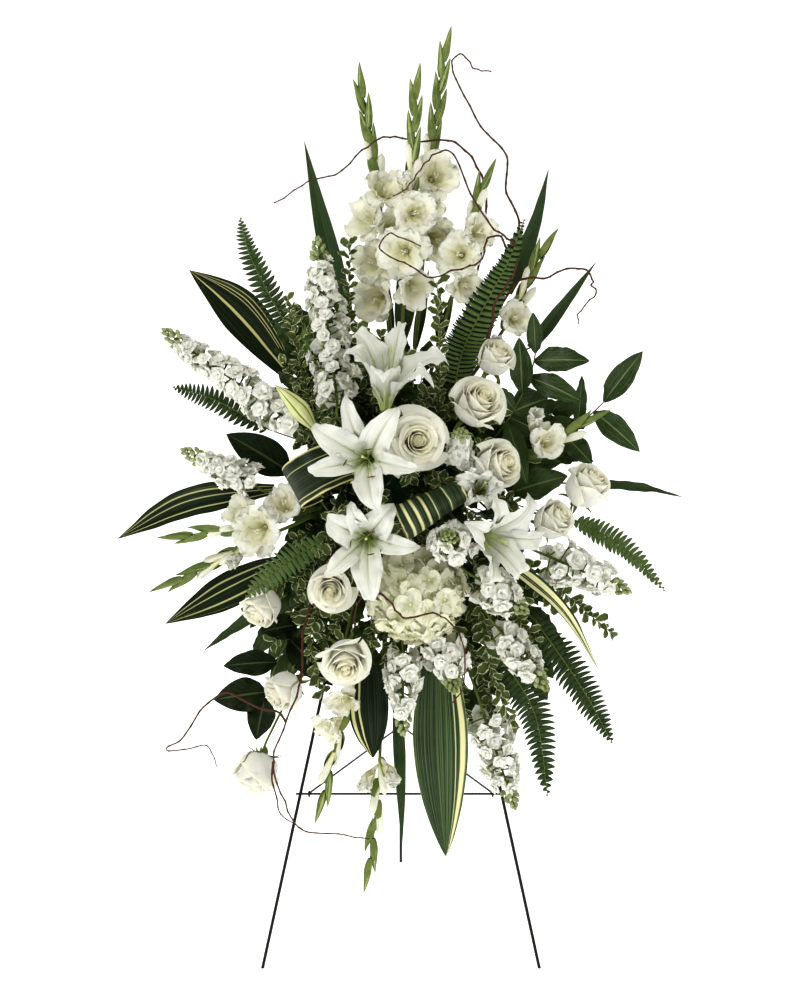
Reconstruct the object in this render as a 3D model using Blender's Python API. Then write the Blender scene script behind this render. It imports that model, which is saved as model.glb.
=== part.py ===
"""A standing funeral spray of white flowers and greenery on a folding wire easel.

Metres, +Z up, the flowers face -Y. The spray is laid out from the floor point midway between the
easel's front feet, and the finished object is moved so that its origin is its base's centre.
Each cut flower, frond and leaf is one solid, whose stem stands in its own hole in the wet foam.
"""

import math
import random
from collections import namedtuple

import bmesh
import bpy
from mathutils import Matrix, Vector
from mathutils.bvhtree import BVHTree

# The easel, a stock 42 inch wire one
LEG_LENGTH = 1.067
LEG_RADIUS = 0.0028
FOOT_HALF_SPREAD = 0.237
TOP_HALF_SPREAD = 0.012
FRONT_LEAN = math.radians(12)
REAR_FOOT_BEHIND = 0.62
CROSSBAR_HEIGHT = 0.29
CROSSBAR_RADIUS = 0.002
CROSSBAR_OVERHANG = 0.008
HINGE_WIRE_RADIUS = 0.0025
HINGE_WIRE_HALF = 0.026
HINGE_WIRE_BELOW_TOP = 0.03
BRACE_RADIUS = 0.0018
BRACE_EYE_X = 0.158
BRACE_NOSE_HEIGHT = 0.30
WIRE_SIDES = 8
CHORD_ROOM = 1.1
FIT_GAP = 0.0005
SEAT_GAP = 0.0003

# The holder and its foam, in the leaning plane of the easel's front
HOLDER_ALONG_LEGS = 0.845
PLATE_SIZE = Vector((0.21, 0.32, 0.003))
RIM_HEIGHT = 0.014
RIM_WALL = 0.002
FOAM_SIZE = Vector((0.20, 0.26, 0.09))
TIE_RADIUS = 0.0008
TIE_FROM_MIDDLE = 0.147
TIE_SLOT = Vector((0.005, 0.006, 0.02))
STEM_SUNK = 0.030
FORK_OUT = 0.025
HOLE_BEYOND = 0.040
HUB_SHARE = 0.45
HOLE_GAP = 0.0006
HOLE_SIDES = 4

# The eye that the flowers are laid out from, in pixels of an 800 x 1000 picture
EYE_DISTANCE = 4.0
EYE_HEIGHT = 1.40
EYE_PITCH = math.radians(8.386)
FOCAL_PIXELS = 2430.0
AXIS_COLUMN = 401.0
MIDDLE_ROW = 500.0

# Stems and leaves
ROSE_STEM = 0.0024
LILY_STEM = 0.0032
GLADIOLUS_STEM = 0.0036
STOCK_STEM = 0.0026
HYDRANGEA_STEM = 0.0038
FERN_RIB = 0.0014
LEAF_STALK = 0.0018
SALAL_STEM = 0.0017
TWIG = 0.0017
PITTOSPORUM_STEM = 0.0014
STEM_SIDES = 4
FORK_SHARE = 0.85
TWIG_TAPER = 0.55
PETAL_RIB = 0.0018
LEAF_RIB = 0.0018
LEAF_THICKNESS = 0.0008
SMOOTH_BELOW = math.radians(40)

# Where things are: a column and row of that picture, and a depth behind the front feet in metres.
# A bloom or a leaf faces an azimuth to the viewer's right and an elevation, in degrees. A bloom's
# size is across it, and a leaf's cup is how far its edges lift as a share of its half width.
Spot = namedtuple("Spot", "column row depth")
Bloom = namedtuple("Bloom", "column row depth azimuth elevation size")
Frond = namedtuple("Frond", "spots half_width pairs azimuth elevation")
Leaf = namedtuple("Leaf", "spots width azimuth elevation cup")

ROSES = {
    "rose_centre_high": [Bloom(416, 441, -0.165, 10, 8, 0.098)],
    "rose_pair_upper_right": [
        Bloom(477, 404, -0.115, 20, 25, 0.09),
        Bloom(497, 465, -0.125, 35, 10, 0.083),
    ],
    "rose_high_right": [Bloom(495, 358, -0.05, 10, 45, 0.066)],
    "rose_pair_right": [
        Bloom(587, 487, -0.03, 40, 20, 0.082),
        Bloom(553, 520, -0.08, 30, 35, 0.072),
    ],
    "rose_left": [Bloom(263, 607, -0.08, -35, -40, 0.072)],
    "rose_pair_centre_left": [
        Bloom(331, 589, -0.14, -5, -5, 0.074),
        Bloom(346, 660, -0.13, 0, -25, 0.086),
    ],
    "rose_pair_low_left": [
        Bloom(284, 690, -0.07, -40, -40, 0.072),
        Bloom(257, 772, -0.03, -30, -65, 0.083),
    ],
}

# A lily's tips are given one by one, clockwise, because each tepal bends its own way. Then come
# the buds: the foot, tip and radius of each.
LILIES = {
    "lily_high": (
        [
            (
                Bloom(386, 395, -0.12, 5, 60, 0.19),
                [
                    Spot(404, 326, -0.085),
                    Spot(449, 366, -0.13),
                    Spot(434, 389, -0.19),
                    Spot(383, 384, -0.215),
                    Spot(343, 358, -0.165),
                    Spot(352, 338, -0.105),
                ],
            ),
        ],
        [(Spot(308, 358, 0.01), Spot(303, 323, 0.01), 0.011)],
    ),
    "lily_pair_left": (
        [
            (
                Bloom(367, 459, -0.175, -10, 5, 0.19),
                [
                    Spot(346, 394, -0.205),
                    Spot(400, 407, -0.235),
                    Spot(421, 469, -0.24),
                    Spot(378, 510, -0.225),
                    Spot(308, 471, -0.205),
                    Spot(314, 424, -0.215),
                ],
            ),
            (
                Bloom(367, 537, -0.165, -5, 0, 0.19),
                [
                    Spot(351, 501, -0.215),
                    Spot(394, 503, -0.195),
                    Spot(421, 546, -0.205),
                    Spot(373, 601, -0.2),
                    Spot(325, 575, -0.205),
                    Spot(327, 515, -0.2),
                ],
            ),
        ],
        [(Spot(315, 430, -0.13), Spot(276, 387, -0.15), 0.0175)],
    ),
    "lily_pair_right": (
        [
            (
                Bloom(482, 535, -0.135, 35, -10, 0.19),
                [
                    Spot(489, 491, -0.165),
                    Spot(527, 492, -0.14),
                    Spot(541, 532, -0.115),
                    Spot(516, 575, -0.155),
                    Spot(482, 583, -0.18),
                    Spot(464, 521, -0.2),
                ],
            ),
            (
                Bloom(478, 492, -0.035, 10, 20, 0.12),
                [
                    Spot(465, 473, -0.045),
                    Spot(492, 477, -0.045),
                    Spot(503, 490, -0.055),
                    Spot(488, 510, -0.07),
                    Spot(464, 507, -0.07),
                    Spot(455, 480, -0.06),
                ],
            ),
        ],
        [],
    ),
}

# Gladioli: each stem from its tip down, and the open florets
GLADIOLI = {
    "gladiolus_top_left": (
        [[Spot(357, 65, 0.11), Spot(372, 150, 0.11), Spot(380, 200, 0.11), Spot(388, 300, 0.1)]],
        [
            Bloom(385, 187, 0.075, 5, 20, 0.055),
            Bloom(366, 220, 0.085, -45, 15, 0.08),
            Bloom(392, 228, 0.07, 25, 0, 0.07),
            Bloom(372, 262, 0.075, -25, 5, 0.075),
            Bloom(374, 300, 0.07, -20, -5, 0.08),
        ],
    ),
    "gladiolus_top_middle": (
        [[Spot(417, 65, 0.02), Spot(413, 150, 0.02), Spot(408, 250, 0.02), Spot(402, 330, 0.02)]],
        [
            Bloom(400, 186, -0.01, -20, 25, 0.055),
            Bloom(415, 213, -0.025, 15, 5, 0.072),
            Bloom(404, 252, -0.03, -10, 0, 0.085),
            Bloom(414, 288, -0.015, 20, -15, 0.07),
        ],
    ),
    "gladiolus_top_tall": (
        [[Spot(448, 28, 0.1), Spot(437, 110, 0.1), Spot(430, 170, 0.1), Spot(420, 300, 0.09)]],
        [
            Bloom(436, 176, 0.055, 10, 15, 0.082),
            Bloom(428, 208, 0.06, -10, 0, 0.065),
            Bloom(437, 240, 0.055, 15, -10, 0.075),
        ],
    ),
    "gladiolus_right_of_top": (
        [[Spot(494, 160, 0.03), Spot(478, 200, 0.03), Spot(465, 250, 0.03), Spot(440, 340, 0.03)]],
        [
            Bloom(479, 232, 0.0, 35, 10, 0.065),
            Bloom(458, 254, -0.01, 10, 0, 0.075),
            Bloom(464, 285, 0.0, 30, -15, 0.06),
        ],
    ),
    "gladiolus_upper_right": (
        [[Spot(556, 230, 0.06), Spot(535, 265, 0.06), Spot(515, 310, 0.06), Spot(490, 350, 0.06)]],
        [Bloom(515, 318, 0.025, 25, 20, 0.062), Bloom(498, 343, 0.025, -10, 5, 0.055)],
    ),
    "gladiolus_right": (
        [[Spot(607, 408, 0.0), Spot(575, 428, 0.0), Spot(548, 445, 0.0), Spot(520, 455, 0.0)]],
        [Bloom(547, 440, -0.035, 30, 10, 0.062), Bloom(533, 421, -0.04, 20, 40, 0.055)],
    ),
    "gladiolus_pair_left": (
        [
            [
                Spot(160, 540, -0.01),
                Spot(225, 530, -0.01),
                Spot(258, 528, -0.01),
                Spot(295, 515, -0.01),
            ],
            [
                Spot(153, 593, 0.03),
                Spot(215, 562, 0.03),
                Spot(250, 543, 0.02),
                Spot(300, 522, 0.01),
            ],
        ],
        [
            Bloom(258, 531, -0.055, -20, 0, 0.088),
            Bloom(240, 512, -0.035, -45, 35, 0.06),
            Bloom(284, 503, -0.045, -5, 30, 0.065),
            Bloom(238, 558, 0.0, -40, -20, 0.05),
        ],
    ),
    "gladiolus_pair_low": (
        [
            [
                Spot(367, 890, -0.05),
                Spot(375, 820, -0.05),
                Spot(379, 780, -0.06),
                Spot(382, 690, -0.06),
            ],
            [
                Spot(318, 822, -0.05),
                Spot(330, 770, -0.05),
                Spot(338, 740, -0.05),
                Spot(358, 680, -0.04),
            ],
        ],
        [
            Bloom(366, 778, -0.075, -30, -65, 0.055),
            Bloom(391, 772, -0.08, 35, -60, 0.055),
            Bloom(327, 726, -0.08, -35, -40, 0.06),
            Bloom(342, 700, -0.08, 10, -40, 0.06),
        ],
    ),
}

# Stock: each head's tip and base, and its width
STOCKS = {
    "stock_pair_left": [
        (Spot(163, 330, -0.02), Spot(280, 412, -0.05), 0.068),
        (Spot(182, 450, -0.03), Spot(252, 482, -0.03), 0.058),
    ],
    "stock_top_left": [(Spot(317, 238, 0.01), Spot(337, 400, -0.075), 0.074)],
    "stock_pair_centre": [
        (Spot(447, 536, -0.235), Spot(453, 545, -0.16), 0.07),
        (Spot(461, 430, -0.14), Spot(459, 462, -0.12), 0.042),
    ],
    "stock_pair_right_low": [
        (Spot(527, 612, -0.15), Spot(480, 580, -0.14), 0.072),
        (Spot(548, 690, -0.1), Spot(500, 630, -0.09), 0.064),
    ],
    "stock_pair_low": [
        (Spot(455, 692, -0.12), Spot(441, 640, -0.09), 0.072),
        (Spot(403, 735, -0.11), Spot(403, 652, -0.09), 0.062),
    ],
    "stock_hanging": [(Spot(515, 808, -0.05), Spot(484, 715, -0.05), 0.076)],
    "stock_right": [(Spot(630, 592, -0.05), Spot(548, 556, -0.06), 0.08)],
}

HYDRANGEA = Bloom(416, 595, -0.10, 5, -15, 0.155)
HYDRANGEA_FLORETS = 17

# Sword ferns: each frond from its tip down, with its pairs of leaflets and the way it looks
FERNS = {
    "fern_top_left": [
        Frond(
            [
                Spot(240, 217, 0.08),
                Spot(250, 255, 0.08),
                Spot(275, 305, 0.07),
                Spot(302, 352, 0.06),
            ],
            0.026,
            11,
            -20,
            10,
        ),
    ],
    "fern_left": [
        Frond(
            [Spot(172, 387, 0.06), Spot(215, 400, 0.06), Spot(270, 430, 0.04)],
            0.024,
            9,
            -15,
            20,
        ),
    ],
    "fern_upper_right": [
        Frond(
            [
                Spot(530, 215, 0.0),
                Spot(505, 280, 0.0),
                Spot(478, 335, -0.005),
                Spot(455, 385, -0.005),
            ],
            0.046,
            13,
            15,
            15,
        ),
    ],
    "fern_right": [
        Frond(
            [Spot(666, 592, 0.02), Spot(625, 548, 0.03), Spot(575, 520, 0.03)],
            0.028,
            10,
            20,
            30,
        ),
    ],
    "fern_pair_low_right": [
        Frond([Spot(613, 744, 0.0), Spot(580, 685, 0.0), Spot(535, 620, 0.0)], 0.04, 11, 20, 5),
        Frond(
            [Spot(548, 798, -0.02), Spot(535, 715, -0.03), Spot(500, 655, -0.03)],
            0.038,
            11,
            10,
            0,
        ),
    ],
    "fern_left_low": [
        Frond(
            [Spot(245, 598, -0.13), Spot(280, 568, -0.12), Spot(322, 540, -0.09)],
            0.03,
            8,
            -15,
            20,
        ),
    ],
}

# Striped strap leaves, each from its tip down
STRIPED_LEAVES = {
    "striped_leaf_top_left": [
        Leaf(
            [Spot(189, 270, 0.11), Spot(240, 312, 0.11), Spot(292, 376, 0.08)],
            0.074,
            -10,
            20,
            0.25,
        ),
    ],
    "striped_leaf_left": [
        Leaf(
            [Spot(117, 539, 0.05), Spot(190, 505, 0.06), Spot(275, 490, 0.05)],
            0.06,
            -5,
            35,
            0.25,
        ),
    ],
    "striped_leaf_low_left": [
        Leaf(
            [Spot(165, 624, 0.06), Spot(230, 592, 0.06), Spot(292, 560, 0.05)],
            0.066,
            -5,
            25,
            0.25,
        ),
    ],
    "striped_leaf_pair_low": [
        Leaf(
            [Spot(446, 857, -0.03), Spot(442, 760, -0.06), Spot(440, 680, -0.05)],
            0.094,
            8,
            5,
            0.12,
        ),
        Leaf(
            [Spot(373, 758, -0.01), Spot(368, 715, -0.02), Spot(368, 670, -0.02)],
            0.066,
            -8,
            0,
            0.12,
        ),
    ],
    "striped_leaf_right": [
        Leaf(
            [Spot(600, 672, -0.1), Spot(563, 610, -0.13), Spot(510, 568, -0.12)],
            0.03,
            20,
            20,
            0.3,
        ),
    ],
}

# Flax blades, which are long and narrow
FLAX_BLADES = {
    "flax_top": [
        Leaf(
            [Spot(304, 140, 0.13), Spot(322, 220, 0.13), Spot(346, 315, 0.12)],
            0.038,
            -10,
            0,
            0.3,
        ),
        Leaf([Spot(549, 168, 0.12), Spot(532, 230, 0.12), Spot(505, 292, 0.11)], 0.033, 10, 0, 0.3),
        Leaf(
            [Spot(597, 261, 0.13), Spot(567, 300, 0.13), Spot(530, 348, 0.12)],
            0.023,
            20,
            10,
            0.3,
        ),
    ],
    "flax_right": [
        Leaf(
            [Spot(683, 497, 0.07), Spot(645, 489, 0.07), Spot(600, 485, 0.06)],
            0.021,
            10,
            40,
            0.3,
        ),
    ],
    "flax_pair_low": [
        Leaf(
            [Spot(203, 651, 0.05), Spot(230, 632, 0.05), Spot(262, 610, 0.04)],
            0.022,
            -10,
            30,
            0.3,
        ),
        Leaf(
            [Spot(402, 850, -0.02), Spot(401, 790, -0.03), Spot(398, 735, -0.03)],
            0.019,
            5,
            0,
            0.3,
        ),
    ],
}

# Two broad striped leaves are rolled: an open loop at the left, and a lying roll at the right. Each
# has the ends of its axis, its radius, and the first and last angle of its turn.
ROLLED_LEAVES = {
    "striped_leaf_loop_left": (Spot(310, 455, -0.135), Spot(330, 495, -0.155), 0.046, -60, 230),
    "striped_leaf_roll_right": (Spot(398, 524, -0.185), Spot(462, 490, -0.16), 0.024, -70, 235),
}

# Salal: its stems from the foam out, and each leaf's base, tip and width
SALAL = {
    "salal_right": (
        [
            [Spot(508, 420, 0.01), Spot(530, 375, 0.01), Spot(537, 345, 0.01)],
            [Spot(550, 448, 0.04), Spot(590, 415, 0.04), Spot(606, 400, 0.04)],
            [Spot(495, 500, 0.01), Spot(513, 492, 0.01)],
        ],
        [
            (Spot(513, 492, 0.01), Spot(568, 476, -0.01), 0.056),
            (Spot(539, 354, 0.008), Spot(533, 312, 0.0), 0.028),
            (Spot(520, 392, 0.008), Spot(519, 337, -0.02), 0.04),
            (Spot(538, 362, 0.008), Spot(590, 361, -0.01), 0.046),
            (Spot(531, 378, 0.008), Spot(583, 402, -0.02), 0.042),
            (Spot(514, 412, 0.008), Spot(548, 398, 0.03), 0.06),
            (Spot(575, 425, 0.038), Spot(582, 375, 0.03), 0.024),
            (Spot(604, 402, 0.038), Spot(643, 351, 0.02), 0.042),
            (Spot(594, 412, 0.038), Spot(640, 452, 0.02), 0.044),
            (Spot(566, 437, 0.038), Spot(592, 464, 0.02), 0.04),
        ],
    ),
    "salal_low_left": (
        [
            [Spot(305, 610, 0.01), Spot(280, 655, 0.01), Spot(264, 700, 0.01)],
            [Spot(326, 508, 0.0), Spot(312, 490, 0.03), Spot(290, 472, 0.045)],
        ],
        [
            (Spot(291, 473, 0.044), Spot(226, 434, 0.02), 0.064),
            (Spot(276, 662, 0.008), Spot(223, 666, -0.01), 0.046),
            (Spot(266, 692, 0.008), Spot(214, 700, -0.01), 0.06),
            (Spot(265, 698, 0.008), Spot(256, 740, -0.01), 0.05),
            (Spot(290, 640, 0.008), Spot(332, 672, -0.02), 0.052),
            (Spot(298, 625, 0.008), Spot(262, 632, -0.02), 0.046),
        ],
    ),
}

# Curly willow: each twig from its tip down to the foam
WILLOW = {
    "willow_top_right": [
        [
            Spot(492, 72, 0.05),
            Spot(475, 68, 0.05),
            Spot(462, 54, 0.05),
            Spot(452, 66, 0.05),
            Spot(463, 92, 0.05),
            Spot(482, 128, 0.05),
            Spot(507, 156, 0.06),
            Spot(506, 190, 0.07),
            Spot(519, 226, 0.08),
            Spot(505, 290, 0.08),
        ],
    ],
    "willow_across_top": [
        [
            Spot(275, 203, 0.03),
            Spot(310, 181, 0.04),
            Spot(337, 174, 0.05),
            Spot(364, 150, 0.05),
            Spot(386, 137, 0.05),
            Spot(412, 141, 0.05),
            Spot(452, 141, 0.06),
            Spot(480, 172, 0.06),
            Spot(486, 215, 0.07),
            Spot(470, 300, 0.07),
        ],
    ],
    "willow_right": [
        [
            Spot(578, 325, 0.0),
            Spot(579, 312, 0.0),
            Spot(596, 288, 0.0),
            Spot(595, 275, 0.0),
            Spot(583, 269, 0.0),
            Spot(560, 271, 0.01),
            Spot(535, 284, 0.02),
            Spot(512, 290, 0.03),
            Spot(494, 320, 0.03),
            Spot(484, 350, 0.03),
        ],
    ],
    "willow_low_left": [
        [
            Spot(370, 838, -0.06),
            Spot(340, 835, -0.06),
            Spot(302, 829, -0.06),
            Spot(284, 800, -0.06),
            Spot(273, 762, -0.07),
            Spot(286, 722, -0.1),
            Spot(301, 682, -0.1),
            Spot(302, 640, -0.09),
            Spot(312, 600, -0.07),
            Spot(322, 566, -0.04),
        ],
    ],
}

# Pittosporum: sprigs of small leaves with pale margins, from the foam out
PITTOSPORUM = {
    "pittosporum_left": [
        [Spot(318, 420, 0.0), Spot(300, 360, -0.01), Spot(288, 300, 0.0)],
        [Spot(347, 390, 0.075), Spot(349, 320, 0.03), Spot(349, 245, 0.03)],
        [Spot(325, 590, -0.02), Spot(310, 640, -0.05), Spot(322, 690, -0.06)],
    ],
    "pittosporum_right": [
        [Spot(440, 420, -0.02), Spot(440, 340, -0.06), Spot(437, 285, -0.04)],
        [Spot(480, 600, -0.02), Spot(488, 660, -0.05), Spot(512, 725, -0.05)],
        [Spot(560, 590, 0.0), Spot(590, 615, -0.02), Spot(610, 632, -0.02)],
    ],
}

# How far a node's hub is moved out so that its stem passes the others in the foam
NUDGES = {"salal_right": -0.02, "salal_low_left": 0.02, "flax_pair_low": -0.03}

# Shapes shared by many pieces. A rose petal's rings are (radius, height, half span in degrees), and
# a whorl is (petals, start, petal). Rose and dome sizes are shares of the bloom's half size.
ROSE_WINDING = 0.20
ROSE_INNER = ((0.05, -0.70, 0), (0.50, -0.25, 46), (0.60, 0.55, 60), (0.52, 0.78, 0))
ROSE_OUTER = ((0.07, -0.78, 0), (0.86, -0.34, 42), (1.00, 0.34, 58), (1.16, 0.50, 0))
ROSE_WHORLS = [(3, 0.1, ROSE_INNER), (4, 0.35, ROSE_OUTER)]
ROSE_HEART = Vector((0.32, 0.32, 0.80))
ROSE_HEART_BACK = 0.12

# A lily tepal's half width and how far its foot is from the axis, outer and inner in turn
LILY_TEPALS = ((0.017, 0.0075), (0.022, 0.0045))
LILY_SIZE = 0.19
LILY_FUNNEL = 0.030
LILY_HIP = Vector((0.010, 0.010, 0.012))
LILY_PISTIL = 0.056
LILY_PISTIL_RADIUS = 0.0015
TEPAL_SHARES = (0, 0.60, 1.0, 0.80, 0)
TEPAL_RISE = 0.070
TEPAL_FLARE = 0.010
TEPAL_BEND = 0.050
TEPAL_BACK = 0.22
TEPAL_CUP = 0.18
STEM_IN_BUD = 0.005

# Gladiolus buds, and the lobes, notch, ruffle and dish of a broad and a narrow floret
BUD_SPACING = 0.030
BUD_SWELL_AT = 0.62
BUD_WAIST_AT = 0.92
BUD_RADIUS = 0.0062
BUD_FIRST = 0.70
BUD_GROWTH = 0.067
BUD_WAIST = 0.0022
BUD_SWAY = 0.0050
BUD_TIP = 0.0012
BUDS_ON_A_STEM = 6
BROAD_FROM = 0.069
BROAD_FLORET = (6, 0.76, 0.16, 0.50)
NARROW_FLORET = (3, 0.86, 0.26, 0.50)

STOCK_STEP = 0.034
STOCK_SIDES = 10
STOCK_GROOVE = 0.50
STOCK_NOTCH = 0.68
STOCK_RUFFLE = 0.006
STOCK_TAPER = 0.55
STOCK_FULLEST = 0.35
STOCK_TWIST = 0.23
STEM_IN_STOCK = 0.006

HYDRANGEA_DOME = 0.85
HYDRANGEA_CORE = 0.71
HYDRANGEA_DEPTH = 1.25
FLORET_REACH = (0.025, 0.030)
FLORET_STYLE = (4, 0.5, 0.1, 0.12)

FERN_NOTCH = 0.16
FERN_FOOT = 0.45
FERN_SWELL = 2.2
FERN_CUP = 0.12
ROLL_STEPS = 10
ROLL_OPENS = 0.12
ROLL_END_WIDTH = 0.72
SALAL_ARCH = 0.006
SALAL_SHARES = (0, 0.95, 0.80, 0)
SALAL_CUP = 0.15
PITTOSPORUM_SEED = 7
PITTOSPORUM_LEAF = Vector((0.030, 0.012))
PITTOSPORUM_RIB = 0.0016
PITTOSPORUM_LEAVES = 2
LEAF_AZIMUTHS = (-80, 80)
LEAF_ELEVATIONS = (-50, 70)
LEAF_SIZES = (0.8, 1.1)
GOLDEN_ANGLE = math.radians(137.5)


def at(spot):
    """The point that the eye sees at a spot's column and row, at the spot's depth."""
    forward = Vector((0, math.cos(EYE_PITCH), -math.sin(EYE_PITCH)))
    up = Vector((0, math.sin(EYE_PITCH), math.cos(EYE_PITCH)))
    ray = forward + up * ((MIDDLE_ROW - spot.row) / FOCAL_PIXELS)
    ray.x = (spot.column - AXIS_COLUMN) / FOCAL_PIXELS
    reach = (spot.depth + EYE_DISTANCE) / ray.y
    return Vector((0, -EYE_DISTANCE, EYE_HEIGHT)) + ray * reach


def facing(azimuth, elevation):
    """The way a flower looks: azimuth in degrees to the viewer's right, elevation above level."""
    a, e = math.radians(azimuth), math.radians(elevation)
    return Vector((math.sin(a) * math.cos(e), -math.cos(a) * math.cos(e), math.sin(e)))


SALAL_LOOK = facing(0, 20)


def frame_along(axis):
    """A rotation whose Z is axis and whose Y is as near to up as it can be."""
    z = axis.normalized()
    guide = Vector((0, 0, 1)) if abs(z.z) < 0.95 else Vector((0, 1, 0))
    x = guide.cross(z).normalized()
    return Matrix((x, z.cross(x), z)).transposed()


def placed(centre, axis):
    return Matrix.Translation(centre) @ frame_along(axis).to_4x4()


def smooth_path(points, count):
    """count points at even steps of a Catmull-Rom curve through the given points."""
    ends = [2 * points[0] - points[1], *points, 2 * points[-1] - points[-2]]
    path = []
    for i in range(count):
        t = i / (count - 1) * (len(points) - 1)
        k = min(int(t), len(points) - 2)
        s = t - k
        a, b, c, d = ends[k : k + 4]
        cubic = (3 * b - a - 3 * c + d) * s**3
        path.append((2 * b + (c - a) * s + (2 * a - 5 * b + 4 * c - d) * s**2 + cubic) / 2)
    return path


def bezier(start, start_pull, end_pull, end, count):
    """count points after start along a Bezier curve."""
    path = []
    for i in range(1, count + 1):
        t = i / count
        s = 1 - t
        pulls = start_pull * (3 * s * s * t) + end_pull * (3 * s * t * t)
        path.append(start * s**3 + pulls + end * t**3)
    return path


# Objects


def clear_scene():
    for old in list(bpy.data.objects):
        bpy.data.objects.remove(old)


def new_collection(name, hidden=False):
    made = bpy.data.collections.new(name)
    made.hide_render = hidden
    bpy.context.scene.collection.children.link(made)
    return made


def plain_material(name, colour, roughness, metallic=0.0):
    made = bpy.data.materials.new(name)
    made.use_nodes = True
    shader = made.node_tree.nodes["Principled BSDF"]
    shader.inputs["Base Color"].default_value = (*colour, 1)
    shader.inputs["Roughness"].default_value = roughness
    shader.inputs["Metallic"].default_value = metallic
    return made


clear_scene()
SPRAY = new_collection("standing_funeral_spray")
LOOSE = new_collection("loose_pieces", hidden=True)
OPERANDS = new_collection("operands", hidden=True)
BASE = bpy.data.objects.new("spray_base", None)
SPRAY.objects.link(BASE)

WIRE = plain_material("easel_wire", (0.02, 0.03, 0.025), 0.45, 0.6)
TRAY = plain_material("holder_plastic", (0.03, 0.09, 0.05), 0.5)
FOAM = plain_material("floral_foam", (0.06, 0.16, 0.08), 0.95)
TIE = plain_material("tie_wire", (0.03, 0.08, 0.04), 0.4, 0.6)
WHITE = plain_material("white_petal", (0.88, 0.88, 0.82), 0.55)
FERN = plain_material("fern_green", (0.09, 0.24, 0.10), 0.5)
STRIPED = plain_material("striped_leaf", (0.10, 0.20, 0.08), 0.4)
DARK = plain_material("dark_leaf", (0.05, 0.13, 0.06), 0.4)
VARIEGATED = plain_material("variegated_leaf", (0.35, 0.42, 0.22), 0.5)
BARK = plain_material("willow_bark", (0.22, 0.09, 0.06), 0.6)


def piece(shape):
    """A loose closed piece, facing out, that combine takes up."""
    bmesh.ops.recalc_face_normals(shape, faces=shape.faces)
    if shape.calc_volume(signed=True) < 0:
        bmesh.ops.reverse_faces(shape, faces=shape.faces)
    mesh = bpy.data.meshes.new("piece")
    shape.to_mesh(mesh)
    shape.free()
    made = bpy.data.objects.new("piece", mesh)
    LOOSE.objects.link(made)
    return made


def combine(body, others, operation="UNION"):
    """body joined with the others, or cut by them, in one Boolean step that is then applied."""
    for other in others:
        LOOSE.objects.unlink(other)
        OPERANDS.objects.link(other)
    step = body.modifiers.new("combine", "BOOLEAN")
    step.operation = operation
    step.operand_type = "COLLECTION"
    step.collection = OPERANDS
    step.solver = "MANIFOLD"
    graph = bpy.context.evaluated_depsgraph_get()
    mesh = bpy.data.meshes.new_from_object(body.evaluated_get(graph))
    body.modifiers.clear()
    body.data = mesh
    for other in others:
        bpy.data.objects.remove(other)
    return body


def keep_largest_body(mesh):
    """Drops loose scraps and the walls of sealed hollows."""
    shape = bmesh.new()
    shape.from_mesh(mesh)
    bmesh.ops.remove_doubles(shape, verts=shape.verts, dist=1e-6)
    bodies = []
    seen = set()
    for start in shape.faces:
        if start in seen:
            continue
        body = {start}
        edge = [start]
        while edge:
            around = {face for link in edge.pop().edges for face in link.link_faces} - body
            body |= around
            edge += around
        seen |= body
        bodies.append(list(body))
    bodies.sort(key=len)
    scraps = [face for body in bodies[:-1] for face in body]
    bmesh.ops.delete(shape, geom=scraps, context="FACES")
    shape.to_mesh(mesh)
    shape.free()


def node(name, pieces, material, origin):
    """One named solid out of the pieces, whose object stands at origin."""
    made = combine(pieces[0], pieces[1:]) if len(pieces) > 1 else pieces[0]
    keep_largest_body(made.data)
    LOOSE.objects.unlink(made)
    SPRAY.objects.link(made)
    made.name = name
    made.data.name = name
    made.data.transform(Matrix.Translation(-Vector(origin)))
    made.location = origin
    made.parent = BASE
    made.data.materials.clear()
    made.data.materials.append(material)
    made.data.shade_smooth()
    made.data.set_sharp_from_angle(angle=SMOOTH_BELOW)
    return made


def wire(points, radius, sides=4, cyclic=False, shares=None):
    """A tube along the points, with 4 or 6 sides. Each share times radius is its radius there."""
    curve = bpy.data.curves.new("wire", "CURVE")
    curve.dimensions = "3D"
    curve.bevel_depth = radius
    curve.bevel_resolution = (sides - 4) // 2
    curve.use_fill_caps = True
    spline = curve.splines.new("POLY")
    spline.points.add(len(points) - 1)
    for i, (point, place) in enumerate(zip(spline.points, points)):
        point.co = (*place, 1)
        point.radius = shares[i] if shares else 1
    spline.use_cyclic_u = cyclic
    holder = bpy.data.objects.new("wire", curve)
    LOOSE.objects.link(holder)
    graph = bpy.context.evaluated_depsgraph_get()
    mesh = bpy.data.meshes.new_from_object(holder.evaluated_get(graph))
    bpy.data.objects.remove(holder)
    shape = bmesh.new()
    shape.from_mesh(mesh)
    bmesh.ops.remove_doubles(shape, verts=shape.verts, dist=1e-5)
    return piece(shape)


def bar(start, end, radius, sides=WIRE_SIDES):
    """A straight round bar from start to end."""
    shape = bmesh.new()
    bmesh.ops.create_cone(
        shape,
        cap_ends=True,
        segments=sides,
        radius1=radius,
        radius2=radius,
        depth=(end - start).length,
        matrix=placed((start + end) / 2, end - start),
    )
    return piece(shape)


def egg(centre, axis, radii, around=6, up=4):
    """An egg of the three radii, whose last one is along axis."""
    shape = bmesh.new()
    place = placed(centre, axis) @ Matrix.Diagonal((*radii, 1))
    bmesh.ops.create_uvsphere(shape, u_segments=around, v_segments=up, radius=1, matrix=place)
    return piece(shape)


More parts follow.
